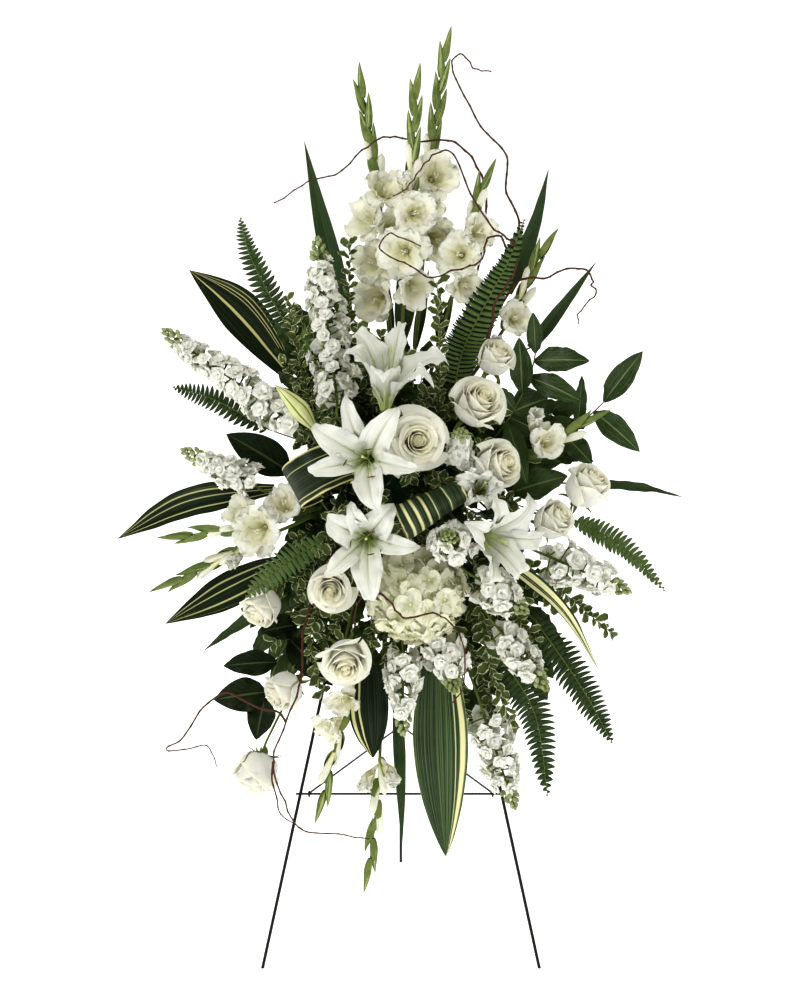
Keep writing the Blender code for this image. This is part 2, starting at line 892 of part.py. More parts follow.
def sheet(steps, across, place, thickness):
    """A thin closed sheet. place gives its point at u from 0 to 1 and w from -1 to 1 across."""
    shape = bmesh.new()
    bmesh.ops.create_grid(shape, x_segments=steps, y_segments=across, size=1)
    for v in shape.verts:
        v.co = place((v.co.x + 1) / 2, v.co.y)
    bmesh.ops.triangulate(shape, faces=shape.faces)
    bmesh.ops.solidify(shape, geom=shape.faces[:], thickness=thickness)
    return piece(shape)


def lens(steps, place, thickness):
    """A pointed blade, thickest along its rib, that thins to its edge. place is as for sheet."""
    shape = bmesh.new()
    bmesh.ops.create_grid(shape, x_segments=steps, y_segments=2, size=1)
    rib = []
    for v in shape.verts:
        u, w = (v.co.x + 1) / 2, v.co.y
        at_end = min(u, 1 - u) < 0.5 / steps
        if abs(w) < 0.5 and not at_end:
            rib.append(v)
        v.co = place(u, 0 if at_end else w)
    bmesh.ops.remove_doubles(shape, verts=shape.verts, dist=1e-7)
    bmesh.ops.triangulate(shape, faces=shape.faces)
    shape.normal_update()
    rib_below = [(v, v.co - v.normal * thickness) for v in rib]
    upper = shape.verts[:] + shape.edges[:] + shape.faces[:]
    copies = bmesh.ops.duplicate(shape, geom=upper)["geom"]
    lower_faces = [part for part in copies if isinstance(part, bmesh.types.BMFace)]
    bmesh.ops.reverse_faces(shape, faces=lower_faces)
    for v, below in rib_below:
        v.co = below
    bmesh.ops.remove_doubles(shape, verts=shape.verts, dist=1e-7)
    return piece(shape)


def blade(spine, half_widths, face, cup=0.0, thickness=LEAF_RIB):
    """A pointed leaf along the spine's points with a half width at each. Its upper side looks along
    face, and cup lifts its edges by that share of the half width."""
    last = len(spine) - 1

    def place(u, w):
        k = round(u * last)
        ahead = (spine[min(k + 1, last)] - spine[max(k - 1, 0)]).normalized()
        side = ahead.cross(face).normalized()
        lift = side.cross(ahead)
        return spine[k] + (side * w + lift * (cup * abs(w))) * half_widths[k]

    return lens(last, place, thickness)


def pointed(half_width, steps, fullest=0.45):
    """Half widths of a pointed leaf that is fullest at that share of its length."""
    made = []
    for k in range(steps + 1):
        u = k / steps
        share = u / fullest if u < fullest else (1 - u) / (1 - fullest)
        made.append(half_width * math.sin(math.pi / 2 * share) ** 0.8)
    return made


def trumpet(mouth, axis, radius, length, lobes, notch, ruffle, dish, apex=None):
    """A floret: a cone that opens to a lobed, dished mouth. As shares of radius, notch is where the
    rim is between two lobes, ruffle how far back that is, and dish how deep the middle lies. The
    apex may be drawn to a given point."""
    shape = bmesh.new()
    bmesh.ops.create_cone(
        shape,
        cap_ends=True,
        cap_tris=True,
        segments=2 * lobes,
        radius1=0,
        radius2=radius,
        depth=length,
    )
    for v in shape.verts:
        v.co.z -= length / 2
        across = v.co.xy.length
        if across > radius / 2:
            if round(math.atan2(v.co.y, v.co.x) * lobes / math.pi) % 2:
                v.co = Vector((v.co.x * notch, v.co.y * notch, -ruffle * radius))
        elif v.co.z > -length / 2:
            v.co.z = -dish * radius
    lowest = min(shape.verts, key=lambda v: v.co.z)
    shape.transform(placed(mouth, axis))
    if apex is not None:
        lowest.co = apex
    return piece(shape)


# The easel

ALONG = Vector((0, math.sin(FRONT_LEAN), math.cos(FRONT_LEAN)))
OUT = Vector((0, -math.cos(FRONT_LEAN), math.sin(FRONT_LEAN)))
RIGHT = Vector((1, 0, 0))
LEG_RUN = math.sqrt(LEG_LENGTH**2 - (FOOT_HALF_SPREAD - TOP_HALF_SPREAD) ** 2)


def leg_point(run, side):
    """The middle of a front leg, run metres up the leaning plane. Side 0 is midway between them."""
    spread = FOOT_HALF_SPREAD + (TOP_HALF_SPREAD - FOOT_HALF_SPREAD) * run / LEG_RUN
    return ALONG * run + RIGHT * (side * spread)


BEHIND_LEGS = LEG_RADIUS + SEAT_GAP
HINGE = leg_point(LEG_RUN - HINGE_WIRE_BELOW_TOP, 0) - OUT * (BEHIND_LEGS + HINGE_WIRE_RADIUS)
CROSSBAR_RUN = CROSSBAR_HEIGHT / ALONG.z
CROSSBAR = leg_point(CROSSBAR_RUN, 0) - OUT * (BEHIND_LEGS + CROSSBAR_RADIUS)
REAR_FOOT = Vector((0, REAR_FOOT_BEHIND, 0))


def standing_bar(foot, top, radius):
    """A straight wire whose lower end is cut level with the floor."""
    axis = (top - foot).normalized()
    shape = bmesh.new()
    bmesh.ops.create_cone(
        shape,
        cap_ends=True,
        segments=WIRE_SIDES,
        radius1=radius,
        radius2=radius,
        depth=(top - foot).length,
        matrix=placed((foot + top) / 2, axis),
    )
    for v in shape.verts:
        if v.co.z < radius * 2:
            v.co -= axis * (v.co.z / axis.z)
    return piece(shape)


def eye_ring(centre, middle_radius, wire_radius, sides=4):
    """A wire eye round an axis along X."""
    turns = 8
    angles = [2 * math.pi * k / turns for k in range(turns)]
    ring = [centre + Vector((0, math.cos(a), math.sin(a))) * middle_radius for a in angles]
    return wire(ring, wire_radius, sides=sides, cyclic=True)


def build_easel():
    for name, side in (("easel_leg_left", -1), ("easel_leg_right", 1)):
        foot = leg_point(0, side)
        node(name, [standing_bar(foot, leg_point(LEG_RUN, side), LEG_RADIUS)], WIRE, foot)

    reach = RIGHT * (leg_point(CROSSBAR_RUN, 1).x + CROSSBAR_OVERHANG)
    crossbar = bar(CROSSBAR - reach, CROSSBAR + reach, CROSSBAR_RADIUS)
    node("easel_crossbar", [crossbar], WIRE, CROSSBAR)
    half = RIGHT * HINGE_WIRE_HALF
    hinge_wire = bar(HINGE - half, HINGE + half, HINGE_WIRE_RADIUS)
    node("easel_hinge_wire", [hinge_wire], WIRE, HINGE)
    build_rear_leg()
    build_brace()


def build_rear_leg():
    ring = (HINGE_WIRE_RADIUS + LEG_RADIUS) * CHORD_ROOM + FIT_GAP
    top = HINGE + (REAR_FOOT - HINGE).normalized() * ring
    eye = eye_ring(HINGE, ring, LEG_RADIUS, sides=6)
    node("easel_rear_leg", [standing_bar(REAR_FOOT, top, LEG_RADIUS), eye], WIRE, HINGE)


def build_brace():
    """One wire from an eye round the crossbar, back round the rear leg, to the other eye."""
    nose = REAR_FOOT + (HINGE - REAR_FOOT) * (BRACE_NOSE_HEIGHT / HINGE.z)
    bend = (LEG_RADIUS + BRACE_RADIUS) * CHORD_ROOM + FIT_GAP
    ring = (CROSSBAR_RADIUS + BRACE_RADIUS) * CHORD_ROOM + FIT_GAP
    back = (nose - CROSSBAR).normalized()
    eyes = [CROSSBAR + RIGHT * (side * BRACE_EYE_X) for side in (-1, 1)]
    turns = 6
    angles = [math.pi * k / turns for k in range(turns + 1)]
    loop = [nose - RIGHT * (bend * math.cos(a)) + back * (bend * math.sin(a)) for a in angles]
    path = [eyes[0] + back * ring, *loop, eyes[1] + back * ring]
    rings = [eye_ring(eye, ring, BRACE_RADIUS) for eye in eyes]
    node("easel_brace", [wire(path, BRACE_RADIUS, sides=6), *rings], WIRE, CROSSBAR)


# The holder, its foam and its ties

HOLDER = leg_point(HOLDER_ALONG_LEGS, 0)
PLATE_MIDDLE = HOLDER + OUT * (BEHIND_LEGS + PLATE_SIZE.z / 2)
FOAM_MIDDLE = HOLDER + OUT * (BEHIND_LEGS + PLATE_SIZE.z + SEAT_GAP + FOAM_SIZE.z / 2)
LEANING = Matrix((RIGHT, ALONG, OUT)).transposed()
STEM_HOLES = []


def slab(middle, size):
    """A box in the leaning plane: its size runs right, along the legs and out."""
    shape = bmesh.new()
    place = Matrix.Translation(middle) @ LEANING.to_4x4() @ Matrix.Diagonal((*size, 1))
    bmesh.ops.create_cube(shape, size=1, matrix=place)
    return piece(shape)


def tie_corner(side, end):
    """Where a tie passes the plate, just outside a leg."""
    run = HOLDER_ALONG_LEGS + end * TIE_FROM_MIDDLE
    outside = BEHIND_LEGS + TIE_RADIUS * CHORD_ROOM + SEAT_GAP
    return leg_point(run, side) + RIGHT * (side * outside)


def build_holder():
    """A plate with a rim round the foam, and slots for the ties above and below it."""
    inner = Vector((FOAM_SIZE.x + 2 * SEAT_GAP, FOAM_SIZE.y + 2 * SEAT_GAP, RIM_HEIGHT))
    outer = inner + Vector((2 * RIM_WALL, 2 * RIM_WALL, 0))
    rim_middle = HOLDER + OUT * (BEHIND_LEGS + RIM_HEIGHT / 2)
    corners = [tie_corner(side, end) for side in (-1, 1) for end in (-1, 1)]
    tray = combine(slab(PLATE_MIDDLE, PLATE_SIZE), [slab(rim_middle, outer)])
    to_plate = OUT * (BEHIND_LEGS + PLATE_SIZE.z / 2)
    slots = [slab(corner + to_plate, TIE_SLOT) for corner in corners]
    combine(tray, [slab(rim_middle + OUT * PLATE_SIZE.z, inner), *slots], "DIFFERENCE")
    node("holder_tray", [tray], TRAY, HOLDER)


def build_ties():
    """Two wire loops, each round both legs and through the plate's slots."""
    behind = -(BEHIND_LEGS + TIE_RADIUS * CHORD_ROOM)
    before = BEHIND_LEGS + PLATE_SIZE.z + SEAT_GAP + TIE_RADIUS * CHORD_ROOM
    for name, end in (("tie_lower", -1), ("tie_upper", 1)):
        left, right = tie_corner(-1, end), tie_corner(1, end)
        loop = [left + OUT * behind, left + OUT * before]
        loop += [right + OUT * before, right + OUT * behind]
        centre = HOLDER + ALONG * (end * TIE_FROM_MIDDLE)
        node(name, [wire(loop, TIE_RADIUS, cyclic=True)], TIE, centre)


def foam_mouth(name, toward, radius):
    """Where a node's stem leaves the foam on its way to a point, and that way. It opens a hole.

    The further the point lies in front of the foam, the further behind it is the hub that the stem
    comes from, so that the mouths spread."""
    hub_out = NUDGES.get(name, 0) - HUB_SHARE * (toward - FOAM_MIDDLE).dot(OUT)
    hub = FOAM_MIDDLE + OUT * hub_out
    way = (toward - hub).normalized()
    shares = LEANING.transposed() @ way
    offsets = (0, 0, hub_out)
    reach = min(
        (size / 2 - offset * math.copysign(1, share)) / max(abs(share), 1e-9)
        for size, offset, share in zip(FOAM_SIZE, offsets, shares)
    )
    mouth = hub + way * reach
    STEM_HOLES.append((mouth - way * (STEM_SUNK + HOLE_GAP), mouth + way * HOLE_BEYOND, radius))
    return mouth, way


def build_foam():
    """The block of foam with a plain hole for each stem."""
    room = math.cos(math.pi / HOLE_SIDES)
    block = slab(FOAM_MIDDLE, FOAM_SIZE)
    holes = [
        bar(low, high, (radius + HOLE_GAP) / room, HOLE_SIDES) for low, high, radius in STEM_HOLES
    ]
    node("foam_block", [combine(block, holes, "DIFFERENCE")], FOAM, FOAM_MIDDLE)


# Stems


def stem(name, bases, radius):
    """The straight or forked stem of blooms with these bases, from its root in the foam."""
    middle = sum(bases, Vector()) / len(bases)
    mouth, way = foam_mouth(name, middle, radius)
    root = mouth - way * STEM_SUNK
    if len(bases) == 1:
        return [bar(root, bases[0], radius, STEM_SIDES)]
    fork = mouth + way * FORK_OUT
    start = fork - way * (2 * radius)
    branches = [bar(start, base, radius * FORK_SHARE, STEM_SIDES) for base in bases]
    return [bar(root, fork, radius, STEM_SIDES), *branches]


def tapering(points, last):
    """Shares for a wire through the points, from 1 down to last."""
    return [1 + (last - 1) * k / (len(points) - 1) for k in range(len(points))]


def twigs_from_foam(name, paths, radius):
    """Twigs through their paths' points, foam end first, from one root in the foam."""
    middle = sum((path[0] for path in paths), Vector()) / len(paths)
    mouth, way = foam_mouth(name, middle, radius)
    root = mouth - way * STEM_SUNK
    fork = mouth + way * FORK_OUT
    if len(paths) == 1:
        course = [root, fork, *paths[0]]
        return [wire(course, radius, shares=tapering(course, TWIG_TAPER))]
    pieces = [bar(root, fork, radius, STEM_SIDES)]
    for path in paths:
        course = [fork - way * (2 * radius), *path]
        pieces.append(wire(course, radius * FORK_SHARE, shares=tapering(course, TWIG_TAPER)))
    return pieces


def nearest_on(path, point):
    """The nearest point to a point on a poly line."""
    best = None
    for a, b in zip(path, path[1:]):
        run = b - a
        share = min(1, max(0, (point - a).dot(run) / run.length_squared))
        candidate = a + run * share
        if best is None or (candidate - point).length < (best - point).length:
            best = candidate
    return best


# Blooms


def rose_petal(centre, axis, size, angle, section):
    """A petal through a section's rings. It winds outward from edge to edge."""
    frame = placed(centre, axis)
    last = len(section) - 1

    def place(u, w):
        radius, height, span = section[round(u * last)]
        around = angle + math.radians(span) * w
        radius += ROSE_WINDING * w * u
        local = Vector((radius * math.cos(around), radius * math.sin(around), height))
        return frame @ (local * (size / 2))

    return lens(last, place, PETAL_RIB)


def rose_head(bloom):
    """A rose's pieces, and its base."""
    axis = facing(bloom.azimuth, bloom.elevation)
    centre = at(bloom)
    half = bloom.size / 2
    pieces = [egg(centre - axis * (ROSE_HEART_BACK * half), axis, ROSE_HEART * half, 5, 4)]
    for count, start, section in ROSE_WHORLS:
        for k in range(count):
            angle = 2 * math.pi * (k + start) / count
            pieces.append(rose_petal(centre, axis, bloom.size, angle, section))
    return pieces, centre - axis * (ROSE_HEART.z * half)


def build_roses():
    for name, blooms in ROSES.items():
        heads = [rose_head(bloom) for bloom in blooms]
        pieces = [petal for head, _ in heads for petal in head]
        pieces += stem(name, [base for _, base in heads], ROSE_STEM)
        node(name, pieces, WHITE, at(blooms[0]))


def tepal(throat, axis, tip, half_width, ring):
    """A lily's tepal: out of the throat's funnel, then bent back to its tip."""
    reach = tip - throat
    side = (reach - axis * reach.dot(axis)).normalized()
    foot = throat - axis * LILY_FUNNEL + side * ring
    knee = foot + axis * TEPAL_RISE + side * TEPAL_FLARE
    before_tip = tip + axis * TEPAL_BEND - reach * TEPAL_BACK
    spine = [foot, *bezier(foot, knee, before_tip, tip, len(TEPAL_SHARES) - 1)]
    half_widths = [half_width * share for share in TEPAL_SHARES]
    return blade(spine, half_widths, axis, TEPAL_CUP, PETAL_RIB)


def lily_head(bloom, tips):
    """A lily's pieces, and its base."""
    axis = facing(bloom.azimuth, bloom.elevation)
    throat = at(bloom)
    size = bloom.size / LILY_SIZE
    foot = throat - axis * LILY_FUNNEL
    pieces = [
        egg(foot, axis, LILY_HIP, 6, 3),
        wire([foot, throat + axis * (LILY_PISTIL * size)], LILY_PISTIL_RADIUS),
    ]
    for k, tip in enumerate(tips):
        half_width, ring = LILY_TEPALS[k % 2]
        pieces.append(tepal(throat, axis, at(tip), half_width * size, ring))
    return pieces, foot - axis * (LILY_HIP.z / 2)


def build_lilies():
    for name, (blooms, buds) in LILIES.items():
        heads = [lily_head(bloom, tips) for bloom, tips in blooms]
        pieces = [tepal for head, _ in heads for tepal in head]
        bases = [base for _, base in heads]
        for foot, tip, radius in buds:
            low, high = at(foot), at(tip)
            length = high - low
            bud = egg((low + high) / 2, length, Vector((radius, radius, length.length / 2)), 6, 4)
            pieces.append(bud)
            bases.append(low + length.normalized() * STEM_IN_BUD)
        node(name, pieces + stem(name, bases, LILY_STEM), WHITE, at(blooms[0][0]))


def bud_chain(path, highest):
    """Points and radii of a spike from its highest floret up to its tip. It swells at each bud,
    left and right in turn."""
    tip = path[-1]
    ahead = (tip - path[-2]).normalized()
    side = ahead.cross(facing(0, 0)).normalized()
    count = min(BUDS_ON_A_STEM, round((tip - highest).length / BUD_SPACING))
    points = [tip]
    radii = [BUD_TIP]
    for k in range(count):
        sway = side * (BUD_SWAY if k % 2 else -BUD_SWAY)
        swell = tip - ahead * (BUD_SPACING * (k + BUD_SWELL_AT))
        waist = tip - ahead * (BUD_SPACING * (k + BUD_WAIST_AT))
        points += [nearest_on(path, swell) + sway, nearest_on(path, waist)]
        radii += [BUD_RADIUS * (BUD_FIRST + BUD_GROWTH * k), BUD_WAIST]
    return points[::-1], radii[::-1]


def glad_floret(floret, path):
    """An open floret whose tube starts on the spike's stem."""
    mouth = at(floret)
    axis = facing(floret.azimuth, floret.elevation)
    radius = floret.size / 2
    apex = nearest_on(path, mouth - axis * radius)
    style = BROAD_FLORET if floret.size > BROAD_FROM else NARROW_FLORET
    return trumpet(mouth, axis, radius, radius, *style, apex=apex)


def its_path(paths, point):
    """The path that a point is nearest to."""
    return min(paths, key=lambda path: (nearest_on(path, point) - point).length)


def build_gladioli():
    for name, (spikes, florets) in GLADIOLI.items():
        paths = [[at(spot) for spot in reversed(spots)] for spots in spikes]
        middle = sum((path[0] for path in paths), Vector()) / len(paths)
        mouth, way = foam_mouth(name, middle, GLADIOLUS_STEM)
        root = mouth - way * STEM_SUNK
        fork = mouth + way * FORK_OUT
        start = [root, fork]
        radius = GLADIOLUS_STEM
        pieces = [glad_floret(floret, its_path(paths, at(floret))) for floret in florets]
        if len(paths) > 1:
            pieces.append(bar(root, fork, radius, STEM_SIDES))
            start = [fork - way * (2 * radius)]
            radius *= FORK_SHARE
        for path in paths:
            own = [at(floret) for floret in florets if its_path(paths, at(floret)) is path]
            tip = path[-1]
            points, radii = bud_chain(path, min(own, key=lambda mouth: (mouth - tip).length))
            buds_reach = (points[0] - tip).length
            below = start + [point for point in path if (point - tip).length > buds_reach]
            shares = [1] * len(below) + [swell / GLADIOLUS_STEM for swell in radii]
            pieces.append(wire(below + points, radius, shares=shares))
        node(name, pieces, WHITE, at(florets[0]))


def stock_head(tip, base, width):
    """A stock's dense spike, whose ruffled florets are rings raised by a formula, and its base."""
    foot = at(base)
    axis = at(tip) - foot
    rings = 2 * max(3, round(axis.length / STOCK_STEP)) + 1
    frame = placed(foot, axis)
    shape = bmesh.new()
    bmesh.ops.create_uvsphere(shape, u_segments=STOCK_SIDES, v_segments=rings, radius=1)
    for v in shape.verts:
        ring = round(rings / 2 + rings * math.asin(max(-1, min(1, v.co.z))) / math.pi)
        share = ring / rings
        if ring in (0, rings):
            v.co = frame @ Vector((0, 0, axis.length * share))
            continue
        turn = round(math.atan2(v.co.y, v.co.x) * STOCK_SIDES / (2 * math.pi))
        on_ruffle = ring % 2
        outer = (turn + ring // 2) % 2
        radius = width / 2 * (1 - STOCK_TAPER * max(0, share - STOCK_FULLEST))
        radius *= (1 if outer else STOCK_NOTCH) if on_ruffle else STOCK_GROOVE
        height = axis.length * share + on_ruffle * (STOCK_RUFFLE if outer else -STOCK_RUFFLE)
        angle = 2 * math.pi * (turn + STOCK_TWIST * ring) / STOCK_SIDES
        v.co = frame @ Vector((radius * math.cos(angle), radius * math.sin(angle), height))
    return [piece(shape)], foot + axis.normalized() * STEM_IN_STOCK


def build_stocks():
    for name, spikes in STOCKS.items():
        heads = [stock_head(*spike) for spike in spikes]
        pieces = [part for head, _ in heads for part in head]
        pieces += stem(name, [base for _, base in heads], STOCK_STEM)
        node(name, pieces, WHITE, at(spikes[0][0]))


def build_hydrangea():
    """A dome of four-petalled florets on a core."""
    axis = facing(HYDRANGEA.azimuth, HYDRANGEA.elevation)
    centre = at(HYDRANGEA)
    dome = Vector((1, 1, HYDRANGEA_DOME)) * (HYDRANGEA.size / 2)
    turn = frame_along(axis)
    core = dome * HYDRANGEA_CORE
    pieces = [egg(centre, axis, core, 8, 6)]
    for k in range(HYDRANGEA_FLORETS):
        height = 1 - HYDRANGEA_DEPTH * (k + 0.5) / HYDRANGEA_FLORETS
        across = math.sqrt(1 - height**2)
        angle = k * GOLDEN_ANGLE
        look = Vector((across * math.cos(angle), across * math.sin(angle), height))
        mouth = centre + turn @ (look * dome)
        pieces.append(trumpet(mouth, turn @ look, *FLORET_REACH, *FLORET_STYLE))
    pieces += stem("hydrangea", [centre - axis * (core.z * 0.9)], HYDRANGEA_STEM)
    node("hydrangea", pieces, WHITE, centre)


# Greenery


def build_ferns():
    """Each frond is one arched blade, cut to its rib between the leaflets."""
    for name, fronds in FERNS.items():
        pieces = []
        bases = []
        for frond in fronds:
            last = 2 * frond.pairs
            spine = smooth_path([at(spot) for spot in reversed(frond.spots)], last + 1)
            half_widths = []
            for k in range(last + 1):
                share = k / last
                full = frond.half_width * min(1, FERN_FOOT + FERN_SWELL * share)
                full *= (1 - share**3) ** 0.8
                half_widths.append(max(full if k % 2 else full * FERN_NOTCH, FERN_RIB * FORK_SHARE))
            look = facing(frond.azimuth, frond.elevation)
            pieces.append(blade(spine, half_widths, look, cup=FERN_CUP))
            bases.append(spine[0].lerp(spine[1], 0.6))
        node(name, pieces + stem(name, bases, FERN_RIB), FERN, bases[0])


def build_leaves(table, material, steps):
    """Strap leaves, each a blade on a stalk. A node's leaves share the last part of their stalk."""
    for name, leaves in table.items():
        pieces = []
        bases = []
        for leaf in leaves:
            spine = smooth_path([at(spot) for spot in reversed(leaf.spots)], steps + 1)
            half_widths = pointed(leaf.width / 2, steps)
            look = facing(leaf.azimuth, leaf.elevation)
            pieces.append(blade(spine, half_widths, look, cup=leaf.cup))
            bases.append(spine[0].lerp(spine[1], 0.3))
        node(name, pieces + stem(name, bases, LEAF_STALK), material, bases[0])


def build_rolled_leaves():
    """Two broad striped leaves, bent round a loop and pinned in the foam by their stalks."""
    for name, (low, high, radius, turn_from, turn_to) in ROLLED_LEAVES.items():
        start, end = at(low), at(high)
        half_length = (end - start).length / 2
        axis = (end - start).normalized()
        middle = (start + end) / 2
        back = FOAM_MIDDLE - middle
        back = (back - axis * back.dot(axis)).normalized()
        rolled = Matrix((axis.cross(back), -back, axis)).transposed() @ Matrix.Diagonal(
            (radius, radius, half_length)
        )

        def place(u, w, middle=middle, rolled=rolled, turn_from=turn_from, turn_to=turn_to):
            angle = math.radians(turn_from + (turn_to - turn_from) * u)
            out = 1 + ROLL_OPENS * u
            half = ROLL_END_WIDTH + (1 - ROLL_END_WIDTH) * math.sin(math.pi * (0.15 + 0.7 * u))
            ring = Vector((out * math.cos(angle), out * math.sin(angle), half * w))
            return middle + rolled @ ring

        leaf = sheet(ROLL_STEPS, 2, place, LEAF_THICKNESS)
        foot = place(1, 0)
        node(name, [leaf, *stem(name, [foot], LEAF_STALK)], STRIPED, foot)


def salal_leaf(base, tip, width):
    """A pointed oval leaf that arches from its stem."""
    middle = (base + tip) / 2 + SALAL_LOOK * SALAL_ARCH
    spine = smooth_path([base, middle, tip], len(SALAL_SHARES))
    return blade(spine, [width / 2 * share for share in SALAL_SHARES], SALAL_LOOK, SALAL_CUP)


def build_salal():
    for name, (stems, leaves) in SALAL.items():
        paths = [[at(spot) for spot in spots] for spots in stems]
        pieces = twigs_from_foam(name, paths, SALAL_STEM)
        for spot, tip, width in leaves:
            base = nearest_on(its_path(paths, at(spot)), at(spot))
            pieces.append(salal_leaf(base, at(tip), width))
        node(name, pieces, DARK, paths[0][0])


def build_willow():
    for name, twigs in WILLOW.items():
        paths = [[at(spot) for spot in reversed(spots)] for spots in twigs]
        node(name, twigs_from_foam(name, paths, TWIG), BARK, paths[0][0])


def kite_leaf(base, out, size):
    """A small four-cornered leaf from base along out."""
    length, width = PITTOSPORUM_LEAF * size
    spine = [base, base + out * (length * 0.45), base + out * length]
    return blade(spine, [0, width / 2, 0], SALAL_LOOK, cup=0.2, thickness=PITTOSPORUM_RIB)


def surface_of(obj):
    corners = [v.co + obj.location for v in obj.data.vertices]
    return BVHTree.FromPolygons(corners, [face.vertices[:] for face in obj.data.polygons])


def build_pittosporum():
    """Sprigs of small leaves. A leaf that would touch another node is left out."""
    draw = random.Random(PITTOSPORUM_SEED)
    taken = [surface_of(obj) for obj in SPRAY.objects if obj.type == "MESH"]
    for name, sprigs in PITTOSPORUM.items():
        paths = [smooth_path([at(spot) for spot in spots], 4) for spots in sprigs]
        pieces = twigs_from_foam(name, paths, PITTOSPORUM_STEM)
        feet = [
            low.lerp(high, (k + 0.5) / PITTOSPORUM_LEAVES)
            for path in paths
            for low, high in zip(path, path[1:])
            for k in range(PITTOSPORUM_LEAVES)
        ]
        for foot in feet:
            out = facing(draw.uniform(*LEAF_AZIMUTHS), draw.uniform(*LEAF_ELEVATIONS))
            leaf = kite_leaf(foot, out, draw.uniform(*LEAF_SIZES))
            tree = surface_of(leaf)
            if any(tree.overlap(other) for other in taken):
                bpy.data.objects.remove(leaf)
            else:
                pieces.append(leaf)
        taken.append(surface_of(node(name, pieces, VARIEGATED, paths[0][0])))


# The whole


def stand_on_origin():
    """Moves the base so that the middle of the box's lower side is the origin."""
    bpy.context.view_layer.update()
    meshes = [obj for obj in SPRAY.objects if obj.type == "MESH"]
    corners = [obj.matrix_world @ v.co for obj in meshes for v in obj.data.vertices]
    lows = [min(corner[i] for corner in corners) for i in range(3)]
    highs = [max(corner[i] for corner in corners) for i in range(3)]
    BASE.location = (-(lows[0] + highs[0]) / 2, -(lows[1] + highs[1]) / 2, -lows[2])


build_easel()
build_holder()
build_ties()
build_roses()
build_lilies()
build_gladioli()
build_stocks()
build_hydrangea()
build_ferns()
build_leaves(STRIPED_LEAVES, STRIPED, 6)
build_leaves(FLAX_BLADES, DARK, 4)
build_rolled_leaves()
build_salal()
build_willow()
build_pittosporum()
build_foam()
stand_on_origin()
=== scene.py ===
"""The looks of a standing funeral spray: white flowers and greenery on a folding wire easel."""

import math
import random
from collections import namedtuple

import bpy
import numpy as np
from mathutils import Matrix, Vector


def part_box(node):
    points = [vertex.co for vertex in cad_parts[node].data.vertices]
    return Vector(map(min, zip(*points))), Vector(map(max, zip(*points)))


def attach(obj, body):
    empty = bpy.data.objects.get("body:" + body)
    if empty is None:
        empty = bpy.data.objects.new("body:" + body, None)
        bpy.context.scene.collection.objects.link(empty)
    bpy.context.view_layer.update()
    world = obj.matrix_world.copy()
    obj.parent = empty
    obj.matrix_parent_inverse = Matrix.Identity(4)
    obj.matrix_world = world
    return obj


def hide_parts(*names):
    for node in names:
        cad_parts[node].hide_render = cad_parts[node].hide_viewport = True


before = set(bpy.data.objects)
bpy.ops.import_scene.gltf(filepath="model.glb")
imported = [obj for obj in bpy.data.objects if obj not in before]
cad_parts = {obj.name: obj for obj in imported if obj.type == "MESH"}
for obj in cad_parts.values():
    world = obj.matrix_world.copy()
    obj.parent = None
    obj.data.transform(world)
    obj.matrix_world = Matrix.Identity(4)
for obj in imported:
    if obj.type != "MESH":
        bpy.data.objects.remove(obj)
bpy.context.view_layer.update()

# The easel and the foam, as the frame has them
FRONT_LEAN = math.radians(12)
LEG_RADIUS = 0.0028
CROSSBAR_RADIUS = 0.002
SEAT_GAP = 0.0003
HOLDER_ALONG_LEGS = 0.845
PLATE_THICKNESS = 0.003
FOAM_SIZE = np.array([0.20, 0.26, 0.09])
STEM_SUNK = 0.030
FORK_OUT = 0.025
FORK_SHARE = 0.85
HUB_SHARE = 0.45

RIGHT = np.array([1.0, 0, 0])
UP = np.array([0, 0, 1.0])
ALONG = np.array([0, math.sin(FRONT_LEAN), math.cos(FRONT_LEAN)])
OUT = np.array([0, -math.cos(FRONT_LEAN), math.sin(FRONT_LEAN)])


def middle_of(node):
    """The middle of a node's box."""
    low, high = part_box(node)
    return np.array((low + high) / 2)


# Where the line between the front feet is: the crossbar is seated behind the leaning legs
CROSSBAR = middle_of("easel_crossbar")
BEHIND_LEGS = LEG_RADIUS + SEAT_GAP
CROSSBAR_BEHIND_LEGS = (BEHIND_LEGS + CROSSBAR_RADIUS) / math.cos(FRONT_LEAN)
CROSSBAR_BEHIND_FEET = CROSSBAR[2] * math.tan(FRONT_LEAN) + CROSSBAR_BEHIND_LEGS
FEET = np.array([CROSSBAR[0], CROSSBAR[1] - CROSSBAR_BEHIND_FEET, 0])
FOAM_OUT = BEHIND_LEGS + PLATE_THICKNESS + SEAT_GAP + FOAM_SIZE[2] / 2
FOAM_MIDDLE = FEET + ALONG * HOLDER_ALONG_LEGS + OUT * FOAM_OUT

# The eye that the photograph was taken from, in pixels of its 800 x 1000 frame
EYE_DISTANCE = 4.0
EYE_HEIGHT = 1.40
EYE_PITCH = math.radians(8.386)
FOCAL_PIXELS = 2430.0
AXIS_COLUMN = 401.0
MIDDLE_ROW = 500.0
MIDDLE_COLUMN = 400.0
FRAME_HEIGHT = 1000.0
SENSOR = 36.0
EYE = FEET + np.array([0, -EYE_DISTANCE, EYE_HEIGHT])
FORWARD = np.array([0, math.cos(EYE_PITCH), -math.sin(EYE_PITCH)])
UPWARD = np.array([0, math.sin(EYE_PITCH), math.cos(EYE_PITCH)])

# Where things are: a column and row of that picture, and a depth behind the front feet in metres.
# A bloom or a leaf faces an azimuth to the viewer's right and an elevation, in degrees.
Spot = namedtuple("Spot", "column row depth")
Bloom = namedtuple("Bloom", "column row depth azimuth elevation size")
Frond = namedtuple("Frond", "spots half_width pairs azimuth elevation")
Leaf = namedtuple("Leaf", "spots width azimuth elevation cup")

